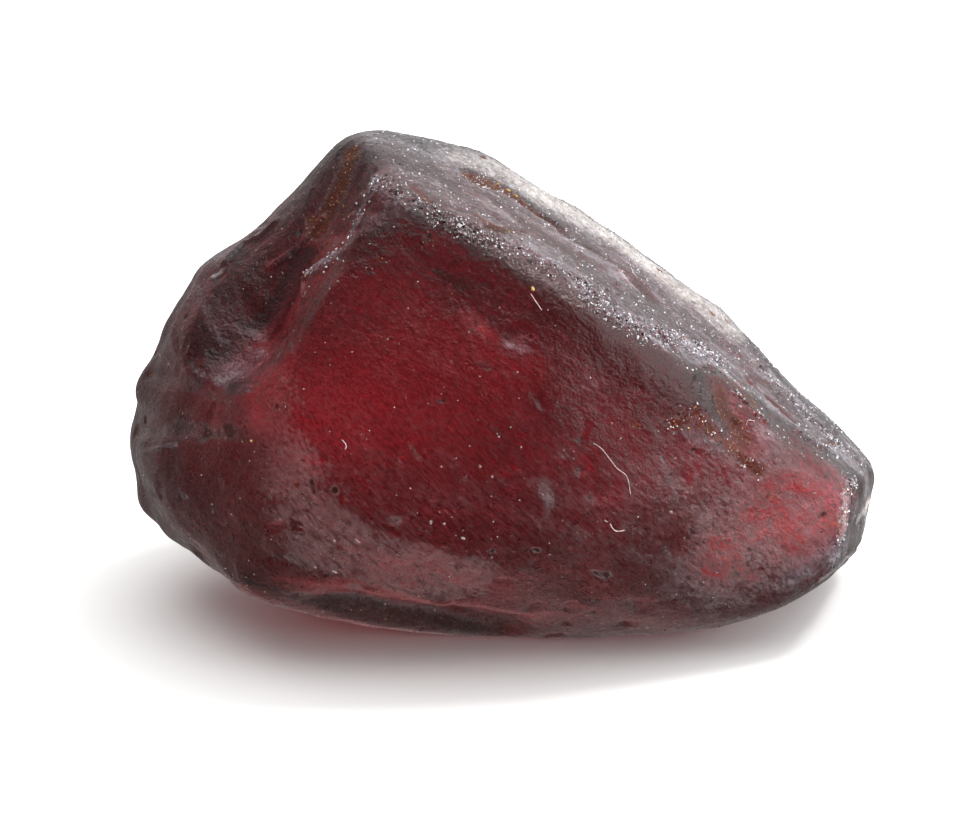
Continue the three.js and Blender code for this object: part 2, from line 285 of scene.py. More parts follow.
    # painted glow: rosy colour where red light shines through the point and its middle
    Mark("pink glow", ((4.63, -2.73), (5.3, -2.32), (6.02, -1.94)), 1.48, {PAINTED_GLOW: 0.38, CHALK_AND_SHEEN: 0.2}),
    Mark("pink middle", ((3.78, -1.18), (4.73, -1.18), (5.49, -1.09)), 1.14, {PAINTED_GLOW: 0.1, FROST: 0.06}),
    Mark("mauve haze", ((1.32, 0.71), (2.08, -1.18), (2.84, -3.45)), 1.7, {FROST: 0.04}),
    Mark("low mauve haze", ((-0.19, -3.26), (1.32, -3.64), (2.84, -3.83)), 0.76, {FROST: 0.05}),
    Mark("lower right haze", ((3.59, -3.45), (4.73, -3.45), (5.49, -3.07)), 0.76, {FROST: 0.12}),
    Mark("first grey patch", ((1.89, 0.44),), 0.3, {FROST: 0.2}),
    Mark("second grey patch", ((1.36, -0.92),), 0.17, {FROST: 0.2}),
    Mark("third grey patch", ((1.04, -1.52), (1.1, -1.86)), 0.19, {FROST: 0.22}),
    Mark("fourth grey patch", ((0.44, 1.22), (0.61, 1.09)), 0.23, {FROST: 0.15}),
    # where the body is made darker behind the skin: painted shade that dims the red glow there
    Mark("upper dusk", ((-2.08, 3.26), (-1.14, 3.07), (-0.19, 2.51), (0.95, 2.03), (2.08, 1.47)),
         1.14, {DEEP: 0.6}),
    Mark("right dusk", ((2.08, 1.47), (2.84, 0.8), (3.78, -0.24)), 1.32, {DEEP: 0.9}),
    Mark("lower right dusk", ((1.51, 0.14), (2.55, -0.71)), 1.14, {DEEP: 0.4}),
    Mark("middle dusk", ((-3.03, 1.47), (-1.14, 1.09), (0.57, 0.33)), 2.46, {DEEP: 0.62}),
    Mark("centre dusk", ((-1.32, -0.8), (0.57, -1.18)), 1.89, {DEEP: 0.22}),
    Mark("left dusk", ((-4.92, 1.09), (-4.54, -0.8)), 1.14, {DEEP: 0.4}),
    # the blunt end
    Mark("waist groove", ((-6.72, -0.46), (-5.88, -0.43), (-5.26, -0.46), (-4.63, -0.54)),
         0.25, {RUST: 0.15, GRIME_AND_SHADE: 0.2, FROST: -0.3}, -0.05),
    Mark("groove pit", ((-4.96, -0.41),), 0.28, {GRIME_AND_SHADE: 0.32}, -0.03),
    Mark("second groove pit", ((-5.39, -0.52),), 0.23, {GRIME_AND_SHADE: 0.2, RUST: 0.2}, -0.02),
    Mark("upper waist shade", ((-6.47, 0.6), (-5.77, 0.44), (-5.2, 0.22)),
         0.23, {GRIME_AND_SHADE: 0.16, RUST: 0.15}, -0.04),
    Mark("waist ledge", ((-6.6, -0.86), (-6.28, -0.79), (-5.94, -0.71)), 0.09, {FROST: 0.55}, 0.03),
    Mark("left shade", ((-5.77, 0.14), (-5.96, -0.61), (-6.02, -1.22)),
         0.49, {GRIME_AND_SHADE: 0.1, DEEP: 0.2}, -0.02),
    Mark("left mauve veil", ((-5.68, 1.05), (-5.2, 0.43), (-4.73, -0.05), (-4.31, -0.71)),
         0.49, {FROST: 0.14}),
    Mark("left pale fleck", ((-4.39, 1.11), (-4.2, 0.96)), 0.13, {FROST: 0.5, CHALK_AND_SHEEN: 0.1}),
    Mark("left wave", ((-5.56, 2.22), (-5.39, 1.69), (-5.07, 1.18)), 0.17, {FROST: 0.25}, 0.02),
    Mark("second left wave", ((-6.02, 1.47), (-5.9, 0.9), (-5.49, 0.52)), 0.17, {FROST: 0.2}, 0.02),
    Mark("pale spots of the end", ((-5.86, -1.56), (-5.75, -1.69)), 0.11, {FROST: 0.5}, 0.02),
    # painted glow: a rosy strip along the lower left
    Mark("pink strip", ((-4.31, 0.8), (-4.24, -0.43), (-3.67, -1.75), (-3.03, -2.6), (-1.89, -3.0),
         (-0.57, -3.21)),
         0.98, {PAINTED_GLOW: 0.26}),
    # pits, smears and flashes of the front
    Mark("round pit", ((-2.93, -1.56),), 0.11, {GRIME_AND_SHADE: 0.5}, -0.01),
    Mark("fuzzy pit", ((-1.76, -2.15),), 0.15, {GRIME_AND_SHADE: 0.32}),
    Mark("right slit", ((1.97, -3.11), (2.23, -3.15)), 0.09, {GRIME_AND_SHADE: 0.35}),
    Mark("low right pit", ((5.13, -3.36),), 0.11, {RUST: 0.3, GRIME_AND_SHADE: 0.35}),
    Mark("curved tick", ((-3.39, -1.37), (-3.33, -1.6)), 0.08, {GRIME_AND_SHADE: 0.4}, -0.03),
    Mark("low smear", ((-3.78, -2.81), (-3.44, -3.02)), 0.15, {GRIME_AND_SHADE: 0.16, RUST: 0.2}, -0.02),
    Mark("middle smear", ((-2.78, -2.73), (-2.61, -2.83)), 0.11, {GRIME_AND_SHADE: 0.2}, -0.02),
    Mark("right smear", ((-2.42, -2.6), (-2.25, -2.71)), 0.11, {GRIME_AND_SHADE: 0.2}, -0.02),
    Mark("first brown glow", ((-3.9, 0.05), (-3.78, -0.14)), 0.17, {RUST: 0.25}),
    Mark("second brown glow", ((2.54, -0.03),), 0.15, {RUST: 0.3}),
    Mark("third brown glow", ((1.48, -2.22), (1.8, -2.41)), 0.19, {RUST: 0.2}),
    # painted reflection: a pink flash from a crack inside the stone
    Mark("pink flash", ((-0.45, 1.77), (-0.23, 1.58), (0.04, 1.35)), 0.25, {PAINTED_GLOW: 0.36}),
    Mark("purple patch", ((0.19, 1.37), (0.57, 1.18)), 0.34, {FROST: 0.1, DEEP: 0.4}),
    Mark("red lip", ((-2.74, -3.17), (-2.35, -3.23), (-1.74, -3.43), (-1.14, -3.62), (-0.55, -3.87)),
         0.17, {FROST: -0.2}, 0.03),
    Mark("undercut shade", ((-3.59, -3.6), (-2.74, -3.64), (-1.89, -3.79), (-1.14, -3.94),
         (-0.23, -4.21)),
         0.32, {RUST: 0.12, GRIME_AND_SHADE: 0.22, FROST: -1.0, DEEP: 0.3}, -0.02),
    Mark("undercut pit", ((-2.57, -3.41),), 0.23, {GRIME_AND_SHADE: 0.25}, -0.02),
)

STREWN = (
    StrewnMarks("dimples", 3, 240, (0.0, 0.3), (0.12, 0.30), (-0.05, -0.012)),
    StrewnMarks("pinprick pits", 4, 90, (0.0, 0.1), (0.05, 0.09), (-0.03, -0.01), {GRIME_AND_SHADE: 0.35}),
    StrewnMarks("swells", 5, 60, (0.2, 0.9), (0.15, 0.35), (0.008, 0.025), lie=(0.8, 0.0, -0.5)),
    StrewnMarks("rusty spots", 7, 60, (0.0, 0.12), (0.08, 0.16), (-0.02, 0.0), {RUST: 0.4}),
)

FACINGS = (
    Facing(FROST, (0.1, 0.0, 1.0), 0.48, 0.8, 0.36),
    Facing(FROST, (0.1, -1.0, -0.3), 0.1, 0.9, 0.115),
    # grime and shade on faces that look forward and down: darker towards the front and bottom, where the dark
    # ticks also gather
    Facing(GRIME_AND_SHADE, (0.0, -1.0, -0.3), 0.4, 0.9, 0.07),
    # painted shade: the body is darker on faces that look to the front
    Facing(DEEP, (0.0, -1.0, 0.0), 0.3, 0.9, 0.1),
    Facing(FROST, (1.0, 0.0, 0.0), 0.25, 0.9, 0.3),
    Facing(FROST, (0.0, 1.0, 0.2), 0.1, 0.8, 0.3),
    # painted sheen: paler on faces that look back and up
    Facing(CHALK_AND_SHEEN, (0.3, 0.6, 0.6), 0.75, 0.98, 0.25),
    Facing(GLINT, (0.5, 0.1, 0.85), 0.75, 0.98, 0.15),
    # painted shade: the body is darker on faces that look left
    Facing(DEEP, (-1.0, -0.3, 0.0), 0.4, 0.95, 0.42),
    # painted shade: the body is darker on faces that look up, which dims the light let in through the top
    Facing(DEEP, (0.3, 0.0, 1.0), 0.4, 0.8, 1.0),
)


@dataclass(frozen=True)
class Noise:
    """A noise pattern: the size of its lumps in millimetres, its detail and its roughness."""

    size: float
    detail: float
    rough: float = 0.6


@dataclass(frozen=True)
class Streaks:
    """A noise that is drawn out along the stone's grain.

    The size is that of its lumps in millimetres: along the grain, through the stone and across the grain. The
    turn is how far it lies off the grain, in degrees.
    """

    size: Place
    detail: float
    rough: float
    turn: float = 0.0


@dataclass(frozen=True)
class Bumps:
    """A layer of relief too fine for the mesh: its strength, and its depth in millimetres."""

    strength: float
    depth: float


@dataclass(frozen=True)
class Cover:
    """How the mask of a layer breaks up into grains and covers the skin.

    The reach is how far the noise carries it where it is strong. The layer starts at one value and is full at
    another. What is left is the share of the skin's clearness under a full layer.
    """

    reach: float
    starts: float
    full: float
    left: float = 1.0
    strong: tuple[float, float] = (0.1, 0.6)
    weak_reach: float = 0.2


class Shader:
    """A material's node tree, with short calls for the steps that the materials share."""

    def __init__(self, name: str) -> None:
        """Makes an empty material with one surface.

        Args:
            name: The material's name.
        """
        self.material = bpy.data.materials.new(name)
        self.material.use_nodes = True
        self.nodes = self.material.node_tree.nodes
        self.links = self.material.node_tree.links
        self.nodes.clear()
        self.out = self.nodes.new("ShaderNodeOutputMaterial")
        self.skin = self.nodes.new("ShaderNodeBsdfPrincipled")
        self.links.new(self.skin.outputs["BSDF"], self.out.inputs["Surface"])
        place = self.nodes.new("ShaderNodeTexCoord")
        self.point = self.turned(place.outputs["Object"], 0.0, (1 / MM, 1 / MM, 1 / MM))

    def turned(self, vector: Socket, angle: float, scale: Place) -> Socket:
        """Turns a vector about Y and then scales it.

        Args:
            vector: The vector.
            angle: The turn in degrees.
            scale: The scale on each axis.

        Returns:
            The new vector.
        """
        turn = self.nodes.new("ShaderNodeVectorRotate")
        turn.rotation_type = "Y_AXIS"
        turn.inputs["Angle"].default_value = math.radians(angle)
        self.links.new(vector, turn.inputs["Vector"])
        scaled = self.nodes.new("ShaderNodeMapping")
        scaled.inputs["Scale"].default_value = scale
        self.links.new(turn.outputs["Vector"], scaled.inputs["Vector"])
        return scaled.outputs["Vector"]

    def cloud(self, pattern: Noise, at: Socket | None = None) -> Socket:
        """Makes a noise.

        Args:
            pattern: Its pattern.
            at: The place to read it at, or None for the place on the object in millimetres.

        Returns:
            The noise value.
        """
        node = self.nodes.new("ShaderNodeTexNoise")
        node.inputs["Scale"].default_value = 1 / pattern.size
        node.inputs["Detail"].default_value = pattern.detail
        node.inputs["Roughness"].default_value = pattern.rough
        self.links.new(at or self.point, node.inputs["Vector"])
        return node.outputs["Fac"]

    def drawn_out(self, streaks: Streaks, lie: float) -> Socket:
        """Makes a noise that is drawn out along the grain.

        Args:
            streaks: Its pattern.
            lie: How the grain lies, in degrees about Y.

        Returns:
            The noise value.
        """
        at = self.turned(self.point, lie + streaks.turn, tuple(1 / size for size in streaks.size))
        return self.cloud(Noise(1.0, streaks.detail, streaks.rough), at)

    def spread(self, value: Socket, low: float, high: float, to_low: float = 0.0,
               to_high: float = 1.0) -> Socket:
        """Stretches a value from one range to another, and keeps it inside it.

        Args:
            value: The value.
            low: The start of its range.
            high: The end of its range.
            to_low: What the start becomes.
            to_high: What the end becomes.

        Returns:
            The new value.
        """
        node = self.nodes.new("ShaderNodeMapRange")
        for name, number in (("From Min", low), ("From Max", high), ("To Min", to_low), ("To Max", to_high)):
            node.inputs[name].default_value = number
        self.links.new(value, node.inputs["Value"])
        return node.outputs["Result"]

    def sums(self, kind: str, a: Socket, b: Socket | float) -> Socket:
        """Does one step of arithmetic.

        Args:
            kind: The operation.
            a: The first value.
            b: The second value.

        Returns:
            The result.
        """
        node = self.nodes.new("ShaderNodeMath")
        node.operation = kind
        self.links.new(a, node.inputs[0])
        self.put(b, node.inputs[1])
        return node.outputs[0]

    def mix(self, values: tuple[Socket, ...], shares: tuple[float, ...]) -> Socket:
        """Adds up values, each times its share.

        Args:
            values: The values.
            shares: The share of each.

        Returns:
            The sum.
        """
        parts = [self.sums("MULTIPLY", value, share) for value, share in zip(values, shares)]
        total = parts[0]
        for part in parts[1:]:
            total = self.sums("ADD", total, part)
        return total

    def vectors(self, kind: str, a: Socket, b: Socket | Place | None = None) -> bpy.types.Node:
        """Does one step of arithmetic on vectors.

        Args:
            kind: The operation.
            a: The first vector.
            b: The second vector, where the operation has one.

        Returns:
            The node, which holds the result.
        """
        node = self.nodes.new("ShaderNodeVectorMath")
        node.operation = kind
        self.links.new(a, node.inputs[0])
        if b is not None:
            self.put(b, node.inputs[1])
        return node

    def put(self, value: Socket | float | Colour, into: Socket) -> None:
        """Links a value to a socket, or sets it there.

        Args:
            value: The value.
            into: The socket.
        """
        if isinstance(value, (float, int)):
            into.default_value = value
        elif isinstance(value, tuple):
            into.default_value = (*value, 1) if len(into.default_value) == 4 else value
        else:
            self.links.new(value, into)

    def layer(self, name: Layer) -> Socket:
        """Reads a mask that is painted on the skin.

        Args:
            name: The mask's layer.

        Returns:
            Its value.
        """
        node = self.nodes.new("ShaderNodeAttribute")
        node.attribute_name = name.value
        return node.outputs["Fac"]

    def blend(self, share: Socket, a: Socket | Colour, b: Socket | Colour) -> Socket:
        """Mixes two colours.

        Args:
            share: The share of the second.
            a: The first colour.
            b: The second colour.

        Returns:
            The mixed colour.
        """
        node = self.nodes.new("ShaderNodeMix")
        node.data_type = "RGBA"
        self.links.new(share, node.inputs["Factor"])
        self.put(a, node.inputs[6])
        self.put(b, node.inputs[7])
        return node.outputs[2]

    def dissolve(self, name: Layer, grain: Socket, cover: Cover) -> Socket:
        """Breaks a painted mask up into grains, the more so the stronger it is.

        Args:
            name: The mask's layer.
            grain: The noise that breaks it up.
            cover: How it breaks up.

        Returns:
            The broken mask, from 0 to 1.
        """
        mask = self.layer(name)
        carried = self.spread(mask, *cover.strong, cover.reach * cover.weak_reach, cover.reach)
        shift = self.sums("MULTIPLY", self.sums("SUBTRACT", grain, 0.5), carried)
        return self.spread(self.sums("ADD", mask, shift), cover.starts, cover.full)

    def bump(self, height: Socket, bumps: Bumps, over: Socket | None = None) -> Socket:
        """Bends the normal by a height.

        Args:
            height: The height.
            bumps: Its strength and depth.
            over: The normal that is bent, or None for the mesh's own.

        Returns:
            The bent normal.
        """
        node = self.nodes.new("ShaderNodeBump")
        node.inputs["Strength"].default_value = bumps.strength
        node.inputs["Distance"].default_value = bumps.depth * MM
        self.links.new(height, node.inputs["Height"])
        if over is not None:
            self.links.new(over, node.inputs["Normal"])
        return node.outputs["Normal"]


@dataclass(frozen=True)
class CrystalFinish:
    """The frosted skin and clear red body of the stone, with its painted shade, sheen and glow."""

    body: Colour = (0.775, 0.12, 0.24)
    body_density: float = 655.0
    ior: float = 1.95
    gloss: float = 0.10
    mirror: float = 0.27

    clear: Colour = (1.0, 1.0, 1.0)
    # the darker body, also used as painted shade
    deep: Colour = (0.07, 0.045, 0.06)
    vein: Colour = (0.42, 0.28, 0.30)
    lilac: Colour = (0.13, 0.09, 0.12)
    sand: Colour = (0.36, 0.20, 0.13)
    silver: Colour = (0.36, 0.36, 0.40)
    # pale chalk, also used as painted sheen and highlight
    chalk_and_sheen: Colour = (0.80, 0.75, 0.70)
    rust: Colour = (0.17, 0.036, 0.010)
    # grime, also used as painted shade
    grime_and_shade: Colour = (0.045, 0.012, 0.010)
    # painted glow: the rosy red of light shining through
    painted_glow: Colour = (0.46, 0.03, 0.04)

    frost_cover: Cover = Cover(4.4, 0.0, 1.0, 0.35)
    painted_glow_cover: Cover = Cover(4.4, 0.05, 1.1, 0.35)
    chalk_and_sheen_cover: Cover = Cover(0.9, 0.15, 0.85, 0.25)
    rust_cover: Cover = Cover(1.2, 0.1, 0.85, 0.5)
    grime_and_shade_cover: Cover = Cover(0.9, 0.1, 0.9, 0.15)
    dark_body_and_shade_cover: Cover = Cover(0.9, 0.0, 1.0)

    grain_lie: float = -36.0
    streaks: Streaks = Streaks((0.30, 0.11, 0.11), 2, 0.6)
    bands: Streaks = Streaks((1.5, 0.5, 0.5), 3, 0.62, 4.0)
    fibres: Streaks = Streaks((0.20, 0.045, 0.045), 2, 0.7, -10.0)
    sugar: Noise = Noise(0.11, 3, 0.72)
    sandy_patches: Noise = Noise(0.4, 2, 0.65)
    dull_patches: Noise = Noise(0.2, 2)
    fine_sugar: Noise = Noise(0.05, 1, 0.7)
    lumps: Noise = Noise(0.22, 2, 0.6)

    streak_bumps: Bumps = Bumps(0.55, 0.035)
    lump_bumps: Bumps = Bumps(0.45, 0.06)
    sugar_bumps: Bumps = Bumps(0.7, 0.018)
    facet_size: float = 0.05
    facet_lean: tuple[float, float] = (0.25, 5.0)

    broken_mix: tuple[float, float] = (0.6, 0.4)
    patchy_mix: tuple[float, float, float] = (0.35, 0.35, 0.3)
    lilac_to_silver: tuple[float, float] = (0.45, 0.56)
    grey_to_sand: tuple[float, float] = (0.6, 0.76)
    vein_to_clear: tuple[float, float] = (0.36, 0.58)
    frost_tints: tuple[float, float] = (0.1, 0.6)
    painted_glow_tints: tuple[float, float] = (0.0, 0.4)
    dirt_tints: tuple[float, float] = (0.0, 0.3)

    dull_range: tuple[float, float] = (0.3, 0.7)
    roughness: tuple[float, float] = (0.24, 0.38)
    glint_smoother: float = 0.16
    rust_rougher: float = 0.15

    def material(self) -> bpy.types.Material:
        """Builds the stone's material.

        Returns:
            The material, with a rough see-through skin, painted wear and an absorbing body.
        """
        shader = Shader("frosted_zircon")
        skin = shader.skin
        volume = shader.nodes.new("ShaderNodeVolumeAbsorption")
        volume.inputs["Color"].default_value = (*self.body, 1)
        volume.inputs["Density"].default_value = self.body_density
        shader.links.new(volume.outputs["Volume"], shader.out.inputs["Volume"])
        skin.inputs["IOR"].default_value = self.ior
        skin.inputs["Specular IOR Level"].default_value = self.gloss
        skin.inputs["Specular Tint"].default_value = (self.mirror, self.mirror, self.mirror, 1)

        sugar = shader.cloud(self.sugar)
        streaks = shader.drawn_out(self.streaks, self.grain_lie)
        bands = shader.drawn_out(self.bands, self.grain_lie)
        fibres = shader.drawn_out(self.fibres, self.grain_lie)
        broken = shader.mix((sugar, streaks), self.broken_mix)
        patchy = shader.mix((broken, bands, fibres), self.patchy_mix)
        frost = shader.dissolve(FROST, patchy, self.frost_cover)
        painted_glow = shader.dissolve(PAINTED_GLOW, patchy, self.painted_glow_cover)
        chalk_and_sheen = shader.dissolve(CHALK_AND_SHEEN, sugar, self.chalk_and_sheen_cover)
        rust = shader.dissolve(RUST, broken, self.rust_cover)
        grime_and_shade = shader.dissolve(GRIME_AND_SHADE, broken, self.grime_and_shade_cover)
        deep = shader.dissolve(DEEP, broken, self.dark_body_and_shade_cover)
        glint = shader.layer(GLINT)

        grey = shader.blend(shader.spread(patchy, *self.lilac_to_silver), self.lilac, self.silver)
        sandy = shader.spread(shader.cloud(self.sandy_patches), *self.grey_to_sand)
        frosted = shader.blend(sandy, grey, self.sand)
        clear = shader.blend(shader.spread(fibres, *self.vein_to_clear), self.vein, self.clear)
        colour = shader.blend(deep, clear, self.deep)
        colour = shader.blend(shader.spread(frost, *self.frost_tints), colour, frosted)
        colour = shader.blend(shader.spread(painted_glow, *self.painted_glow_tints), colour, self.painted_glow)
        colour = shader.blend(chalk_and_sheen, colour, self.chalk_and_sheen)
        colour = shader.blend(shader.spread(rust, *self.dirt_tints), colour, self.rust)
        colour = shader.blend(shader.spread(grime_and_shade, *self.dirt_tints), colour, self.grime_and_shade)
        shader.links.new(colour, skin.inputs["Base Color"])

        frost_twice = shader.sums("MULTIPLY", frost, frost)
        see_through = shader.spread(frost_twice, 0.0, 1.0, 1.0, self.frost_cover.left)
        for mask, cover in ((painted_glow, self.painted_glow_cover), (chalk_and_sheen, self.chalk_and_sheen_cover), (rust, self.rust_cover),
                            (grime_and_shade, self.grime_and_shade_cover)):
            left = shader.spread(mask, 0.0, 1.0, 1.0, cover.left)
            see_through = shader.sums("MULTIPLY", see_through, left)
        shader.links.new(see_through, skin.inputs["Transmission Weight"])

        dull = shader.spread(shader.cloud(self.dull_patches), *self.dull_range, *self.roughness)
        dull = shader.sums("ADD", dull, shader.spread(glint, 0.0, 1.0, 0.0, -self.glint_smoother))
        dull = shader.sums("ADD", dull, shader.spread(rust, 0.0, 0.5, 0.0, self.rust_rougher))
        shader.links.new(dull, skin.inputs["Roughness"])
        shader.links.new(self.grain(shader, glint, streaks), skin.inputs["Normal"])
        return shader.material

    def grain(self, shader: Shader, glint: Socket, streaks: Socket) -> Socket:
        """Makes the skin's fine relief: sugary grain, streaks, and small crystal facets where it glitters.

        Args:
            shader: The stone's shader.
            glint: The mask of where the skin glitters.
            streaks: The noise that lies down the front.

        Returns:
            The bent normal.
        """
        streaky = shader.bump(streaks, self.streak_bumps)
        lumpy = shader.bump(shader.cloud(self.lumps), self.lump_bumps, streaky)
        sugary = shader.bump(shader.cloud(self.fine_sugar), self.sugar_bumps, lumpy)
        facets = shader.nodes.new("ShaderNodeTexVoronoi")
        facets.inputs["Scale"].default_value = 1 / self.facet_size
        shader.links.new(shader.point, facets.inputs["Vector"])
        tilt = shader.vectors("SUBTRACT", facets.outputs["Color"], (0.5, 0.5, 0.5)).outputs["Vector"]
        uneven = shader.vectors("DOT_PRODUCT", tilt, tilt).outputs["Value"]
        lean = shader.vectors("SCALE", tilt)
        shader.links.new(shader.sums("MULTIPLY", uneven, shader.spread(glint, 0.0, 1.0, *self.facet_lean)),
                         lean.inputs["Scale"])
        bent = shader.vectors("ADD", sugary, lean.outputs["Vector"]).outputs["Vector"]
        return shader.vectors("NORMALIZE", bent).outputs["Vector"]


@dataclass(frozen=True)
class GrainFinish:
    """Loose grains, dust, lint and painted glint specks: a mottled colour, how dull it is, and the size of
    its mottles.
    """

    name: str
    pale: Colour
    dark: Colour
    roughness: float
    size: float
    detail: float = 3
    dark_to_pale: tuple[float, float] = (0.38, 0.62)
    uneven: tuple[float, float] = (0.8, 1.2)

    def material(self) -> bpy.types.Material:
        """Builds the grains' material.

        Returns:
            The material.
        """
        shader = Shader(self.name)
        mottle = shader.spread(shader.cloud(Noise(self.size, self.detail)), *self.dark_to_pale)
        shader.links.new(shader.blend(mottle, self.dark, self.pale), shader.skin.inputs["Base Color"])
        dull = shader.spread(mottle, 0.0, 1.0, *(self.roughness * share for share in self.uneven))
        shader.links.new(dull, shader.skin.inputs["Roughness"])
        return shader.material


@dataclass
class Skin:
    """The stone's surface as arrays of places and normals in millimetres."""

    points: np.ndarray
    normals: np.ndarray

    def __post_init__(self) -> None:
        """Sorts the vertices along X, which makes it quick to find those near a place."""
        self.order = np.argsort(self.points[:, 0])
        self.along = self.points[self.order, 0]

    @classmethod
    def of(cls, mesh: bpy.types.Mesh) -> "Skin":
        """Reads a mesh.

        Args:
            mesh: The stone's mesh.

        Returns:
            Its places in millimetres, and its normals.
        """
        arrays = []
        for source in ("co", "normal"):
            values = np.empty(len(mesh.vertices) * 3, np.float32)
            mesh.vertices.foreach_get(source, values)
            arrays.append(values.reshape(-1, 3).astype(np.float64))
        return cls(arrays[0] / MM, arrays[1])

    def clouds(self, size: float, shift: float) -> np.ndarray:
        """Noise on every vertex, with lumps of a size in millimetres, moved along by a shift."""
        scaled = self.points / size + shift
        return np.array([noise.noise(place) for place in scaled])

    def near(self, places: np.ndarray, width: float, end_width: float) -> tuple[np.ndarray, np.ndarray]:
        """Finds how near the vertices are to a line.

        Args:
            places: The line's places.
            width: The distance at its start that counts as 1.
            end_width: The same at its end.

        Returns:
            The numbers of the vertices in reach, and the nearness of each: 0 at the edge and 1 on the line.
        """
        reach = max(width, end_width)
        low, high = places.min(0) - reach, places.max(0) + reach
        chosen = self.order[slice(*np.searchsorted(self.along, (low[0], high[0])))]
        chosen = chosen[np.all((self.points[chosen] > low) & (self.points[chosen] < high), axis=1)]
        best = np.zeros(len(chosen))
        steps = max(len(places) - 1, 1)
        for step in range(steps):
            start, end = places[step], places[min(step + 1, len(places) - 1)]
            run = end - start
            share = np.clip((self.points[chosen] - start) @ run / max(run @ run, 1e-9), 0, 1)
            gap = np.linalg.norm(self.points[chosen] - start - share[:, None] * run, axis=1)
            here = (step + share) / steps
            best = np.maximum(best, 1 - gap / (width + (end_width - width) * here))
        return chosen[best > 0], best[best > 0]


@dataclass
class Sight:
    """Lays lines of the front view, and strewn lines, on the stone's surface."""

    tree: BVHTree
    view: FrontView = field(default_factory=FrontView)
    step: float = 0.12

    def trace(self, path: tuple[Spot, ...]) -> np.ndarray:
        """Lays a path of the front view on the skin.

        Args:
            path: The path, in millimetres across and up.

        Returns:
            Places on the skin, closely spaced along the path.
        """
        spots = [Vector(path[0])]
        for start, end in zip(path, path[1:]):
            run = Vector(end) - Vector(start)
            count = max(round(run.length / self.step), 1)
            spots += [Vector(start) + run * (share + 1) / count for share in range(count)]
        eye = self.view.eye() * MM
        hits = [self.tree.ray_cast(eye, self.view.toward(*spot))[0] for spot in spots]
        return np.array([hit / MM for hit in hits if hit is not None])

    def stroll(self, start: np.ndarray, heading: np.ndarray, length: float) -> np.ndarray:
        """Walks over the skin from a place, the straight way.

        Args:
            start: The first place.
            heading: The way to go.
            length: How far to go.

        Returns:
            The places passed.
        """
        count = max(round(length / self.step), 1)
        walked = [start + heading * length * share / count for share in range(count + 1)]
        return np.array([self.tree.find_nearest(Vector(place) * MM)[0] / MM for place in walked])


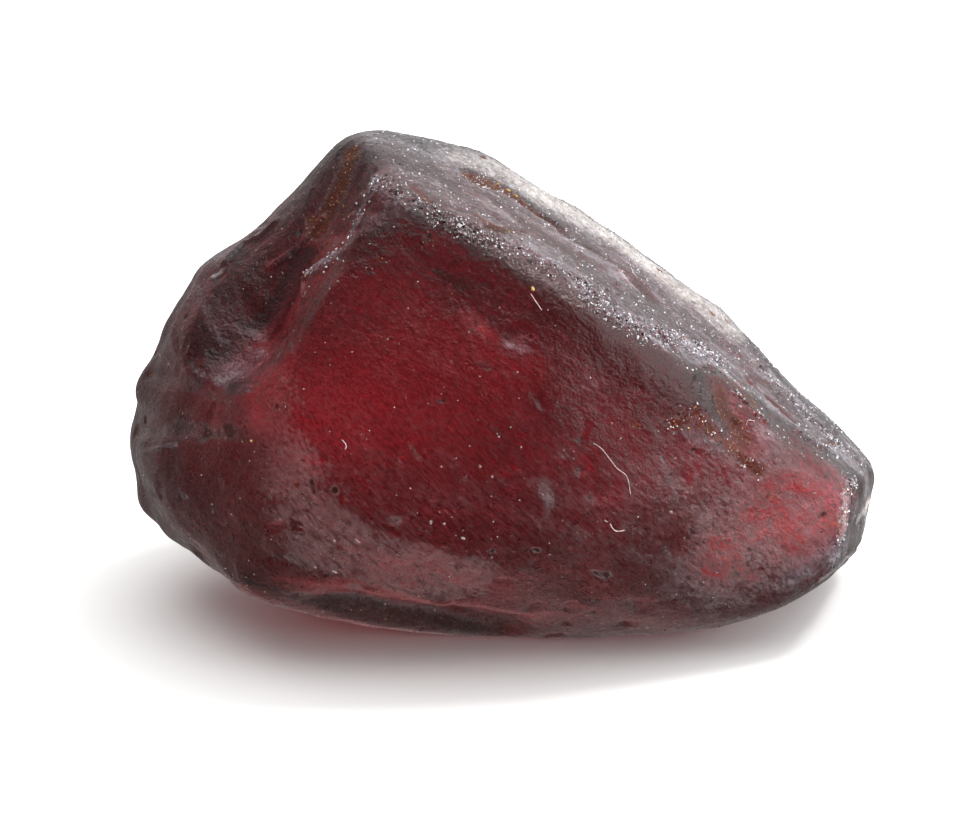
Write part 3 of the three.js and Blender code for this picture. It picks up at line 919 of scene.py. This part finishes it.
@dataclass
class Stone:
    """The zircon itself: the CAD solid's surface, made fine, with its small relief and its painted masks."""

    node: str = "zircon"
    levels: int = 3
    most_triangles: int = 198000
    finish: CrystalFinish = field(default_factory=CrystalFinish)
    marks: tuple[Mark, ...] = MARKS
    strewn: tuple[StrewnMarks, ...] = STREWN
    facings: tuple[Facing, ...] = FACINGS
    unevenness: tuple[tuple[float, float], ...] = ((1.3, 0.045), (0.5, 0.016), (0.2, 0.006))
    uneven_shift: float = 17.0
    chipped: float = 0.035
    chip_noise: tuple[tuple[float, float, float], ...] = ((0.16, 5.0, 1.0), (0.09, 9.0, 0.6))
    least_glint: float = 0.05
    fullest_mask: float = 1.2
    flat_edge: float = 3.0

    def fine_copy(self) -> bpy.types.Object:
        """Copies the node's mesh, merges its loose triangles and subdivides it.

        Returns:
            The stone as a plain object of its own.
        """
        mesh = bpy.data.meshes.new("zircon_skin")
        shell = bmesh.new()
        shell.from_mesh(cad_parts[self.node].data)
        bmesh.ops.remove_doubles(shell, verts=shell.verts, dist=0.001 * MM)
        shell.to_mesh(mesh)
        shell.free()
        stone = bpy.data.objects.new("zircon_skin", mesh)
        bpy.context.scene.collection.objects.link(stone)
        finer = stone.modifiers.new("finer", "SUBSURF")
        finer.levels = finer.render_levels = self.levels
        self.settle(stone)
        return stone

    def settle(self, stone: bpy.types.Object) -> None:
        """Makes what the stone's modifiers do part of its mesh.

        Args:
            stone: The stone.
        """
        graph = bpy.context.evaluated_depsgraph_get()
        settled = bpy.data.meshes.new_from_object(stone.evaluated_get(graph))
        stone.modifiers.clear()
        stone.data = settled

    def lines(self, sight: Sight, skin: Skin) -> list[tuple[Mark, np.ndarray]]:
        """Lays every mark on the skin, the strewn ones with fixed seeds.

        Args:
            sight: What finds places on the skin.
            skin: The skin.

        Returns:
            Each mark with its places.
        """
        laid = [(mark, sight.trace(mark.path)) for mark in self.marks]
        for kind in self.strewn:
            dice = np.random.default_rng(kind.seed)
            starts = dice.choice(len(skin.points), kind.count)
            for index in starts:
                normal = skin.normals[index]
                heading = dice.normal(size=3)
                if kind.lie:
                    heading = heading * kind.stray + np.array(kind.lie)
                heading -= normal * (heading @ normal)
                heading /= np.linalg.norm(heading)
                width, rise = dice.uniform(*kind.width), dice.uniform(*kind.rise)
                mark = Mark(kind.name, (), width, kind.paint, rise, end_width=width * kind.taper)
                laid.append((mark, sight.stroll(skin.points[index], heading, dice.uniform(*kind.length))))
        for mark, places in laid:
            if not len(places):
                LOG.warning("%s: off the stone", mark.name)
        return [(mark, places) for mark, places in laid if len(places)]

    def relief(self, skin: Skin, laid: list[tuple[Mark, np.ndarray]]) -> np.ndarray:
        """Works out how far each vertex moves out of the skin.

        Args:
            skin: The skin.
            laid: The marks with their places.

        Returns:
            The height of each vertex, in millimetres.
        """
        height = np.zeros(len(skin.points))
        for size, rise in self.unevenness:
            height += skin.clouds(size, self.uneven_shift) * rise
        glint = self.paint(skin, laid)[GLINT]
        broken = np.nonzero(glint > self.least_glint)[0]
        rough = Skin(skin.points[broken], skin.normals[broken])
        chips = sum(share * rough.clouds(size, shift) for size, shift, share in self.chip_noise)
        height[broken] += glint[broken] * self.chipped * chips
        for mark, places in laid:
            if mark.rise:
                chosen, nearness = skin.near(places, mark.width, mark.end_width or mark.width)
                height[chosen] += mark.rise * self.profile(mark.shape, nearness)
        return height

    def profile(self, shape: Shape, nearness: np.ndarray) -> np.ndarray:
        """Works out the height across a mark.

        Args:
            shape: The mark's shape.
            nearness: How near each vertex is to the mark's line.

        Returns:
            The heights, from 0 at the mark's edge to 1 on its line.
        """
        if shape is Shape.SHARP:
            return nearness
        if shape is Shape.FLAT:
            return np.clip(nearness * self.flat_edge, 0, 1)
        return (1 - (1 - nearness) ** 2) ** 2

    def paint(self, skin: Skin, laid: list[tuple[Mark, np.ndarray]]) -> dict[Layer, np.ndarray]:
        """Works out the masks of wear and dirt, and of painted shade, sheen and glow.

        Args:
            skin: The skin.
            laid: The marks with their places.

        Returns:
            The strength of each mask on each vertex.
        """
        masks = {layer: np.zeros(len(skin.points)) for layer in Layer}
        for facing in self.facings:
            lean = skin.normals @ np.array(Vector(facing.toward).normalized())
            share = np.clip((lean - facing.starts) / (facing.full - facing.starts), 0, 1)
            masks[facing.layer] += facing.amount * share * share * (3 - 2 * share)
        for mark, places in laid:
            chosen, nearness = skin.near(places, mark.width, mark.end_width or mark.width)
            cover = self.profile(Shape.ROUND, nearness)
            for layer, amount in mark.paint.items():
                masks[layer][chosen] += amount * cover
        return {layer: np.clip(mask, 0, self.fullest_mask) for layer, mask in masks.items()}

    def build(self) -> tuple[bpy.types.Object, Sight]:
        """Makes the finished stone and puts it in the node's place.

        Returns:
            The stone's object, and what finds places on it.
        """
        stone = self.fine_copy()
        skin = Skin.of(stone.data)
        laid = self.lines(self.sight(stone), skin)
        moved = skin.points + skin.normals * self.relief(skin, laid)[:, None]
        moved[:, 2] = np.maximum(moved[:, 2], 0.0)
        stone.data.vertices.foreach_set("co", (moved * MM).astype(np.float32).ravel())
        stone.data.update()
        leaner = stone.modifiers.new("leaner", "DECIMATE")
        leaner.ratio = self.most_triangles / (2 * len(stone.data.polygons))
        self.settle(stone)
        skin = Skin.of(stone.data)
        for layer, mask in self.paint(skin, laid).items():
            attribute = stone.data.attributes.new(layer.value, "FLOAT", "POINT")
            attribute.data.foreach_set("value", mask.astype(np.float32))
        mesh = stone.data
        mesh.materials.clear()
        mesh.materials.append(self.finish.material())
        mesh.polygons.foreach_set("material_index", np.zeros(len(mesh.polygons), np.int32))
        mesh.polygons.foreach_set("use_smooth", np.ones(len(mesh.polygons), bool))
        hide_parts(self.node)
        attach(stone, "root")
        LOG.info("zircon_skin: %d triangles, %d marks", len(mesh.polygons), len(laid))
        return stone, self.sight(stone)

    def sight(self, stone: bpy.types.Object) -> Sight:
        """Makes what finds places on the stone.

        Args:
            stone: The stone.

        Returns:
            The sight on the stone as it is now.
        """
        mesh = stone.data
        corners = [vertex.co.copy() for vertex in mesh.vertices]
        return Sight(BVHTree.FromPolygons(corners, [polygon.vertices[:] for polygon in mesh.polygons]))


class Graph:
    """A Geometry Nodes group that makes one kind of small piece, with named inputs."""

    def __init__(self, name: str) -> None:
        """Starts a group.

        Args:
            name: The group's name.
        """
        self.tree = bpy.data.node_groups.new(name, "GeometryNodeTree")
        self.tree.is_modifier = True
        self.tree.interface.new_socket("Geometry", in_out="OUTPUT", socket_type="NodeSocketGeometry")
        self.tree.interface.new_socket("Geometry", in_out="INPUT", socket_type="NodeSocketGeometry")
        self.given: dict[str, str] = {}
        self.entry: bpy.types.Node | None = None

    def ask(self, **inputs: str) -> None:
        """Adds named inputs.

        Args:
            inputs: The kind of each, such as Float, by its name with _ for a space.
        """
        for name, kind in inputs.items():
            label = name.replace("_", " ")
            socket = self.tree.interface.new_socket(label, in_out="INPUT", socket_type="NodeSocket" + kind)
            self.given[label] = socket.identifier

    def given_as(self, name: str) -> Socket:
        """Reads a named input.

        Args:
            name: The input's name.

        Returns:
            Its value.
        """
        if self.entry is None:
            self.entry = self.tree.nodes.new("NodeGroupInput")
        return self.entry.outputs[name]

    def add(self, kind: str, **sockets: Socket | float | tuple) -> bpy.types.Node:
        """Adds a node and fills its inputs.

        Args:
            kind: The node's type.
            sockets: Its inputs by name, with _ for a space: a value, or the output to link.

        Returns:
            The node.
        """
        node = self.tree.nodes.new(kind)
        for name, value in sockets.items():
            socket = node.inputs[name.replace("_", " ")]
            if isinstance(value, bpy.types.NodeSocket):
                self.tree.links.new(value, socket)
            else:
                socket.default_value = value
        return node

    def attribute(self, name: str, kind: str) -> Socket:
        """Reads a named attribute of the geometry.

        Args:
            name: The attribute's name.
            kind: Its data type.

        Returns:
            Its value.
        """
        node = self.tree.nodes.new("GeometryNodeInputNamedAttribute")
        node.data_type = kind
        node.inputs["Name"].default_value = name
        return next(output for output in node.outputs if output.enabled and output.name == "Attribute")

    def finish(self, geometry: Socket) -> None:
        """Ends the group: makes the instances real and gives them the material.

        Args:
            geometry: What the group has made.
        """
        real = self.add("GeometryNodeRealizeInstances", Geometry=geometry)
        coat = self.add("GeometryNodeSetMaterial", Geometry=real.outputs["Geometry"],
                        Material=self.given_as("Finish"))
        end = self.tree.nodes.new("NodeGroupOutput")
        self.tree.links.new(coat.outputs["Geometry"], end.inputs["Geometry"])

    def run(self, name: str, source: bpy.types.Mesh, values: dict[str, object]) -> bpy.types.Object:
        """Runs the group on a mesh and keeps the result as a piece that rides on the stone.

        Args:
            name: The piece's name.
            source: The mesh that the group starts from.
            values: The value of each named input.

        Returns:
            The piece.
        """
        piece = bpy.data.objects.new(name, source)
        bpy.context.scene.collection.objects.link(piece)
        modifier = piece.modifiers.new("growth", "NODES")
        modifier.node_group = self.tree
        for label, value in values.items():
            modifier[self.given[label]] = value
        piece.update_tag()
        graph = bpy.context.evaluated_depsgraph_get()
        made = bpy.data.meshes.new_from_object(piece.evaluated_get(graph))
        piece.modifiers.clear()
        piece.data = made
        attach(piece, "root")
        LOG.info("%s: %d faces", name, len(made.polygons))
        return piece


@dataclass
class Grains:
    """Grains strewn on the stone where one of its masks is strong, or all over where there is no mask.

    Sizes are half the grain's length, width and height. Grains with a lie are turned that far about Y in
    degrees, and stray and tip from it by a few tenths of a radian. The others lie every way.
    """

    name: str
    finish: GrainFinish
    mask: Layer | None
    per_mm2: float
    smallest: Place
    largest: Place
    seed: int
    lie: float | None = None
    tip: float = 0.3
    stray: float = 0.35

    def graph(self) -> Graph:
        """Makes the group: points on the skin, a faceted grain on each.

        Returns:
            The group.
        """
        graph = Graph(self.name + "_growth")
        graph.ask(Skin="Object", Density="Float", Smallest="Vector", Largest="Vector", Turn_low="Vector",
                  Turn_high="Vector", Seed="Int", Finish="Material")
        skin = graph.add("GeometryNodeObjectInfo", Object=graph.given_as("Skin"))
        density = graph.given_as("Density")
        if self.mask:
            product = graph.tree.nodes.new("ShaderNodeMath")
            product.operation = "MULTIPLY"
            graph.tree.links.new(graph.attribute(self.mask.value, "FLOAT"), product.inputs[0])
            graph.tree.links.new(density, product.inputs[1])
            density = product.outputs[0]
        seed = graph.given_as("Seed")
        points = graph.add("GeometryNodeDistributePointsOnFaces", Mesh=skin.outputs["Geometry"],
                           Density=density, Seed=seed)
        grain = graph.add("GeometryNodeMeshIcoSphere", Radius=1.0, Subdivisions=1)
        turn = self.dice(graph, "Turn low", "Turn high", seed)
        size = self.dice(graph, "Smallest", "Largest", seed)
        strewn = graph.add("GeometryNodeInstanceOnPoints", Points=points.outputs["Points"],
                           Instance=grain.outputs["Mesh"], Rotation=turn, Scale=size)
        graph.finish(strewn.outputs["Instances"])
        return graph

    def dice(self, graph: Graph, low: str, high: str, seed: Socket) -> Socket:
        """Rolls a random vector for each grain.

        Args:
            graph: The group.
            low: The named input that holds the least vector.
            high: The one that holds the greatest.
            seed: The seed.

        Returns:
            The vector.
        """
        node = graph.tree.nodes.new("FunctionNodeRandomValue")
        node.data_type = "FLOAT_VECTOR"
        graph.tree.links.new(graph.given_as(low), node.inputs["Min"])
        graph.tree.links.new(graph.given_as(high), node.inputs["Max"])
        graph.tree.links.new(seed, node.inputs["Seed"])
        return next(output for output in node.outputs if output.enabled)

    def build(self, stone: bpy.types.Object) -> bpy.types.Object:
        """Strews the grains on the stone.

        Args:
            stone: The stone.

        Returns:
            The piece.
        """
        low, high = (0.0, 0.0, 0.0), (math.tau, math.tau, math.tau)
        if self.lie is not None:
            tip, lie, stray = self.tip, math.radians(self.lie), self.stray
            low, high = (-tip, lie - stray, -tip), (tip, lie + stray, tip)
        values = {"Skin": stone, "Density": self.per_mm2 / MM ** 2, "Turn low": low, "Turn high": high,
                  "Smallest": tuple(side * MM for side in self.smallest),
                  "Largest": tuple(side * MM for side in self.largest),
                  "Seed": self.seed, "Finish": self.finish.material()}
        return self.graph().run(self.name, bpy.data.meshes.new(self.name), values)


@dataclass(frozen=True)
class Lint:
    """A lint fibre: its path in the front view, its thickness, and how far its middle stands off the skin."""

    path: tuple[Spot, ...]
    thickness: float = 0.02
    lift: float = 0.05


@dataclass
class Fibres:
    """The lint fibres that lie on the stone, with their ends bedded on it."""

    name: str
    finish: GrainFinish
    lints: tuple[Lint, ...]
    bedding: float = 0.4
    smooth_steps: int = 6
    sides: int = 6

    def graph(self) -> Graph:
        """Makes the group: a smooth round thread along each line of edges.

        Returns:
            The group.
        """
        graph = Graph(self.name + "_growth")
        graph.ask(Smooth_steps="Int", Sides="Int", Finish="Material")
        line = graph.add("GeometryNodeMeshToCurve", Mesh=graph.given_as("Geometry"))
        smooth = graph.add("GeometryNodeCurveSplineType", Curve=line.outputs["Curve"])
        smooth.spline_type = "CATMULL_ROM"
        steps = graph.add("GeometryNodeSetSplineResolution", Geometry=smooth.outputs["Curve"],
                          Resolution=graph.given_as("Smooth steps"))
        sides = graph.given_as("Sides")
        round_end = graph.add("GeometryNodeCurvePrimitiveCircle", Resolution=sides, Radius=0.5)
        thread = graph.add("GeometryNodeCurveToMesh", Curve=steps.outputs["Geometry"],
                           Profile_Curve=round_end.outputs["Curve"], Fill_Caps=True,
                           Scale=graph.attribute("thickness", "FLOAT"))
        graph.finish(thread.outputs["Mesh"])
        return graph

    def build(self, sight: Sight) -> bpy.types.Object:
        """Lays the fibres on the stone.

        Args:
            sight: What finds places on the stone.

        Returns:
            The piece.
        """
        places, edges, thickness = [], [], []
        for lint in self.lints:
            line = [sight.trace((spot,)) for spot in lint.path]
            line = [spots[0] for spots in line if len(spots)]
            off = np.array(sight.view.back())
            for step, place in enumerate(line):
                arch = math.sin(math.pi * step / (len(line) - 1))
                places.append(tuple((place + off * (lint.thickness * self.bedding + lint.lift * arch)) * MM))
                thickness.append(lint.thickness * MM)
                if step:
                    edges.append((len(places) - 2, len(places) - 1))
        source = bpy.data.meshes.new(self.name)
        source.from_pydata(places, edges, [])
        layer = source.attributes.new("thickness", "FLOAT", "POINT")
        layer.data.foreach_set("value", thickness)
        values = {"Smooth steps": self.smooth_steps, "Sides": self.sides, "Finish": self.finish.material()}
        return self.graph().run(self.name, source, values)


@dataclass(frozen=True)
class Flake:
    """A flake bedded in the skin: where it is in the front view, its length and width, and its slope."""

    at: Spot
    length: float
    width: float
    slope: float = 0.0


@dataclass
class Flakes:
    """Larger flakes of one kind, each in its own place."""

    name: str
    finish: GrainFinish
    flakes: tuple[Flake, ...]
    thinness: float = 0.8

    def graph(self) -> Graph:
        """Makes the group: one faceted flake on each point.

        Returns:
            The group.
        """
        graph = Graph(self.name + "_growth")
        graph.ask(Finish="Material")
        grain = graph.add("GeometryNodeMeshIcoSphere", Radius=0.5, Subdivisions=2)
        bedded = graph.add("GeometryNodeInstanceOnPoints", Points=graph.given_as("Geometry"),
                           Instance=grain.outputs["Mesh"], Rotation=graph.attribute("turn", "FLOAT_VECTOR"),
                           Scale=graph.attribute("size", "FLOAT_VECTOR"))
        graph.finish(bedded.outputs["Instances"])
        return graph

    def build(self, sight: Sight) -> bpy.types.Object:
        """Beds the flakes in the stone.

        Args:
            sight: What finds places on the stone.

        Returns:
            The piece.
        """
        found = [(flake, sight.trace((flake.at,))) for flake in self.flakes]
        found = [(flake, places[0]) for flake, places in found if len(places)]
        source = bpy.data.meshes.new(self.name)
        source.from_pydata([tuple(place * MM) for _, place in found], [], [])
        sizes = [(flake.length * MM, flake.width * MM * self.thinness, flake.width * MM)
                 for flake, _ in found]
        turns = [(0.0, math.radians(flake.slope), 0.0) for flake, _ in found]
        for name, values in (("size", sizes), ("turn", turns)):
            layer = source.attributes.new(name, "FLOAT_VECTOR", "POINT")
            layer.data.foreach_set("vector", np.array(values, np.float32).ravel())
        return self.graph().run(self.name, source, {"Finish": self.finish.material()})


WHITE_DUST = GrainFinish("white_dust", (0.62, 0.58, 0.56), (0.34, 0.28, 0.28), 0.6, 0.03)
# pale flakes, partly painted highlights: soft pale specks where small highlights show
PALE_FLAKES_AND_HIGHLIGHTS = GrainFinish("pale_flake_and_highlight", (0.42, 0.36, 0.34), (0.16, 0.09, 0.09), 0.45, 0.04)
GLASSY = GrainFinish("glassy_chips", (0.62, 0.60, 0.62), (0.16, 0.14, 0.15), 0.16, 0.12)
# painted glints: near-white specks that stand in for the glitter's bright reflections
PAINTED_GLINTS = GrainFinish("painted_glint_tips", (0.96, 0.97, 1.0), (0.62, 0.62, 0.68), 0.25, 0.05)
SANDY = GrainFinish("rusty_sand", (0.44, 0.25, 0.10), (0.12, 0.04, 0.02), 0.5, 0.05)
GOLDEN = GrainFinish("golden_flakes", (0.72, 0.55, 0.18), (0.40, 0.22, 0.05), 0.3, 0.04)
DARK = GrainFinish("dark_grime", (0.05, 0.022, 0.02), (0.012, 0.006, 0.006), 0.7, 0.05)
COTTON = GrainFinish("pale_lint", (0.70, 0.62, 0.62), (0.48, 0.38, 0.38), 0.7, 0.04)


GRAINS = (
    Grains("glassy_chips", GLASSY, GLINT, 180.0, (0.008, 0.008, 0.006), (0.026, 0.024, 0.02), 11),
    # painted glint specks strewn where the skin glitters
    Grains("sparkles", PAINTED_GLINTS, GLINT, 55.0, (0.007, 0.007, 0.006), (0.033, 0.028, 0.024), 21),
    Grains("white_dust", WHITE_DUST, None, 2.2, (0.006, 0.006, 0.006), (0.017, 0.017, 0.014), 12),
    Grains("rusty_sand", SANDY, RUST, 200.0, (0.008, 0.008, 0.006), (0.022, 0.02, 0.018), 13),
    Grains("dark_ticks", DARK, GRIME_AND_SHADE, 10.0, (0.018, 0.008, 0.006), (0.05, 0.016, 0.012), 14, 38.0),
)

FLAKES = (
    # pale flakes, partly painted highlights
    Flakes("pale_flakes", PALE_FLAKES_AND_HIGHLIGHTS, (
        Flake((-2.52, -2.52), 0.117, 0.047, 35.0),
        Flake((-2.95, -2.52), 0.059, 0.047, 30.0),
        Flake((-2.94, -3.11), 0.106, 0.047, 25.0),
        Flake((-3.3, -3.02), 0.059, 0.035, 25.0),
        Flake((-1.12, -2.17), 0.094, 0.059, 90.0),
        Flake((-0.87, -2.2), 0.059, 0.047),
        Flake((-1.99, -3.71), 0.059, 0.047),
        Flake((-0.51, -2.47), 0.094, 0.047, 30.0),
        Flake((-0.93, 3.54), 0.047, 0.035),
        Flake((-0.68, 3.21), 0.035, 0.035),
        Flake((-0.4, 3.13), 0.035, 0.035),
        Flake((-0.69, 4.02), 0.059, 0.035, 20.0),
        Flake((-0.44, 4.03), 0.047, 0.035),
        Flake((-0.3, 3.81), 0.059, 0.035, 20.0),
        Flake((0.25, 4.28), 0.094, 0.035, 25.0),
        Flake((0.63, 4.21), 0.047, 0.035),
        Flake((-1.31, 4.49), 0.094, 0.035, 10.0),
        Flake((-1.25, 3.94), 0.07, 0.047, 30.0),
        Flake((-2.25, 4.96), 0.082, 0.035, -10.0),
        Flake((-2.52, 4.95), 0.059, 0.035),
        Flake((2.88, 1.45), 0.07, 0.059, 30.0),
        Flake((4.73, 0.02), 0.082, 0.059, 40.0),
        Flake((3.42, -1.98), 0.07, 0.059, 20.0),
        Flake((2.8, -2.07), 0.035, 0.035),
        Flake((4.67, -1.41), 0.141, 0.023, 8.0),
        Flake((6.13, -1.62), 0.117, 0.023, -8.0),
        Flake((5.68, -1.62), 0.047, 0.023),
        Flake((-0.74, 0.87), 0.029, 0.029),
        Flake((0.52, 0.67), 0.035, 0.035),
        Flake((-1.17, 0.07), 0.029, 0.029),
        Flake((-0.61, 0.13), 0.026, 0.026),
        Flake((0.17, -0.55), 0.041, 0.035),
        Flake((0.59, -0.75), 0.035, 0.035),
        Flake((-0.92, -1.12), 0.035, 0.035),
        Flake((-0.19, -1.11), 0.07, 0.047, 50.0),
        Flake((0.04, -1.31), 0.07, 0.047, 80.0),
        Flake((-1.77, -1.66), 0.029, 0.029),
        Flake((-3.52, 0.35), 0.047, 0.023, 10.0),
        Flake((-3.03, 0.8), 0.029, 0.029),
        Flake((-2.61, 1.05), 0.035, 0.023),
    )),
    Flakes("glassy_flakes", GLASSY, (
        Flake((-0.45, 3.41), 0.059, 0.047),
        Flake((-0.47, 3.28), 0.059, 0.047, 20.0),
        Flake((-2.52, 3.86), 0.047, 0.047),
        Flake((-2.28, 3.89), 0.041, 0.041),
        Flake((-2.76, 3.56), 0.047, 0.035),
        Flake((-2.58, 3.47), 0.047, 0.035),
        Flake((-2.78, 3.11), 0.047, 0.047),
        Flake((-2.95, 3.06), 0.035, 0.035),
        Flake((-2.77, 2.77), 0.041, 0.035),
        Flake((-3.14, 2.56), 0.047, 0.047),
        Flake((-3.42, 2.28), 0.035, 0.035),
        Flake((-2.88, 2.39), 0.035, 0.035),
        Flake((-3.46, 2.54), 0.035, 0.035),
        Flake((5.15, 0.79), 0.094, 0.07, 30.0),
        Flake((6.7, -1.62), 0.059, 0.047),
        Flake((6.66, -1.9), 0.047, 0.047),
        Flake((6.66, -2.12), 0.047, 0.047),
        Flake((6.62, -2.49), 0.059, 0.047),
        Flake((6.85, -1.39), 0.047, 0.047),
        Flake((0.19, 2.83), 0.035, 0.035),
        Flake((-0.08, 3.11), 0.035, 0.035),
    )),
    Flakes("gold_flakes", GOLDEN, (
        Flake((0.81, 2.24), 0.106, 0.059, 70.0),
        Flake((-4.51, -0.63), 0.059, 0.047, 20.0),
        Flake((0.34, 4.11), 0.106, 0.047, 30.0),
        Flake((0.49, 4.0), 0.094, 0.047, 35.0),
        Flake((0.15, 4.23), 0.07, 0.035, 20.0),
        Flake((3.75, -0.39), 0.059, 0.035),
    )),
)

LINT = Fibres("lint", COTTON, (
    Lint(((1.96, -0.68), (2.1, -0.77), (2.29, -1.01), (2.41, -1.16), (2.59, -1.31), (2.66, -1.65)),
         0.011, 0.05),
    Lint(((2.27, -2.2), (2.33, -2.3), (2.41, -2.34), (2.55, -2.32)), 0.018, 0.03),
    Lint(((-2.8, -0.61), (-2.72, -0.71), (-2.74, -0.79)), 0.017, 0.02),
    Lint(((4.85, -0.33), (4.88, -0.24), (5.01, -0.26)), 0.014, 0.03),
    Lint(((2.67, 2.64), (2.72, 2.54), (2.78, 2.45)), 0.018, 0.0),
    Lint(((0.77, 2.15), (0.87, 2.0), (0.98, 1.84)), 0.014, 0.0),
    Lint(((2.16, -2.13), (2.23, -2.17)), 0.011, 0.0),
))


@dataclass(frozen=True)
class Glow:
    """A bright part of the sky: where it is, the cosines at which it starts and is full, and its strength."""

    name: str
    toward: Place
    starts: float
    full: float
    strength: float


@dataclass
class Studio:
    """The pale floor, the soft light from behind and above, and the camera."""

    view: FrontView = field(default_factory=FrontView)
    lens: float = 100.0
    clip: tuple[float, float] = (0.001, 10.0)
    paper: Colour = (0.93, 0.93, 0.92)
    paper_roughness: float = 0.9
    floor_size: float = 900.0
    card_front: float = 7.0
    dim: float = 0.28
    sky: tuple[Glow, ...] = (
        Glow("overhead", (0.1, 0.08, 1.0), 0.61, 0.88, 2.65),
        Glow("lamp", (0.46, 0.17, 0.87), 0.9945, 0.9985, 55.0),
        Glow("window", (0.45, 0.9, 0.0), 0.25, 0.9, 1.1),
        Glow("right wall", (0.95, 0.3, 0.2), 0.65, 0.95, 1.3),
        Glow("low right", (1.0, -0.5, 0.3), 0.8, 0.97, 3.3),
        Glow("left wall", (-1.0, 0.0, 0.2), 0.3, 0.95, 0.1),
    )

    def sheet(self, name: str, side: float, front: float) -> bpy.types.Object:
        """Lays a flat white sheet.

        Args:
            name: The sheet's name.
            side: How far it reaches to each side and to the back, in millimetres.
            front: How far it reaches to the front, in millimetres.

        Returns:
            The sheet.
        """
        side, front = side * MM, front * MM
        mesh = bpy.data.meshes.new(name)
        corners = [(-side, -front, 0), (side, -front, 0), (side, side, 0), (-side, side, 0)]
        mesh.from_pydata(corners, [], [(0, 1, 2, 3)])
        sheet = bpy.data.objects.new(name, mesh)
        bpy.context.scene.collection.objects.link(sheet)
        shader = Shader("white_paper")
        shader.skin.inputs["Base Color"].default_value = (*self.paper, 1)
        shader.skin.inputs["Roughness"].default_value = self.paper_roughness
        mesh.materials.append(shader.material)
        return sheet

    def floor(self) -> None:
        """Lays a wide white floor, and a card that shows in the gloss in its place.

        The card ends a little in front of the stone, so the gloss shows the dim front of the sky from there.
        """
        half = self.floor_size / 2
        self.sheet("floor", half, half).visible_glossy = False
        card = self.sheet("gloss_card", half, self.card_front)
        card.visible_camera = card.visible_diffuse = card.visible_transmission = card.visible_shadow = False

    def light(self) -> None:
        """Lights the scene with a soft sky that is bright overhead and behind, and dim in front."""
        world = bpy.data.worlds.new("soft_sky")
        bpy.context.scene.world = world
        world.use_nodes = True
        nodes, links = world.node_tree.nodes, world.node_tree.links
        nodes.clear()
        out = nodes.new("ShaderNodeOutputWorld")
        sky = nodes.new("ShaderNodeBackground")
        place = nodes.new("ShaderNodeTexCoord")
        total = nodes.new("ShaderNodeValue").outputs[0]
        total.default_value = self.dim
        for glow in self.sky:
            lean = nodes.new("ShaderNodeVectorMath")
            lean.operation = "DOT_PRODUCT"
            lean.inputs[1].default_value = Vector(glow.toward).normalized()
            ramp = nodes.new("ShaderNodeMapRange")
            ramp.label = glow.name
            ramp.interpolation_type = "SMOOTHSTEP"
            ramp.inputs["From Min"].default_value = glow.starts
            ramp.inputs["From Max"].default_value = glow.full
            ramp.inputs["To Max"].default_value = glow.strength
            links.new(place.outputs["Generated"], lean.inputs[0])
            links.new(lean.outputs["Value"], ramp.inputs["Value"])
            add = nodes.new("ShaderNodeMath")
            links.new(ramp.outputs["Result"], add.inputs[0])
            links.new(total, add.inputs[1])
            total = add.outputs[0]
        links.new(total, sky.inputs["Strength"])
        links.new(sky.outputs["Background"], out.inputs["Surface"])

    def camera(self) -> None:
        """Sets the camera in front of the stone, looking down on it."""
        data = bpy.data.cameras.new("camera")
        data.lens = self.lens
        data.clip_start, data.clip_end = self.clip
        camera = bpy.data.objects.new("camera", data)
        bpy.context.scene.collection.objects.link(camera)
        camera.location = self.view.eye() * MM
        camera.rotation_euler = self.view.back().to_track_quat("Z", "Y").to_euler()
        bpy.context.scene.camera = camera

    def build(self) -> None:
        """Sets up the whole studio."""
        bpy.context.scene.view_settings.view_transform = "Standard"
        self.floor()
        self.light()
        self.camera()
        LOG.info("studio: floor, card, %d glows and camera", len(self.sky))


def main() -> None:
    """Builds the studio, the stone and all that lies on it, in order."""
    logging.basicConfig(level=logging.INFO, format="%(name)s: %(message)s")
    Studio().build()
    stone, sight = Stone().build()
    for grains in GRAINS:
        grains.build(stone)
    for flakes in FLAKES:
        flakes.build(sight)
    LINT.build(sight)


if __name__ == "__main__":
    main()
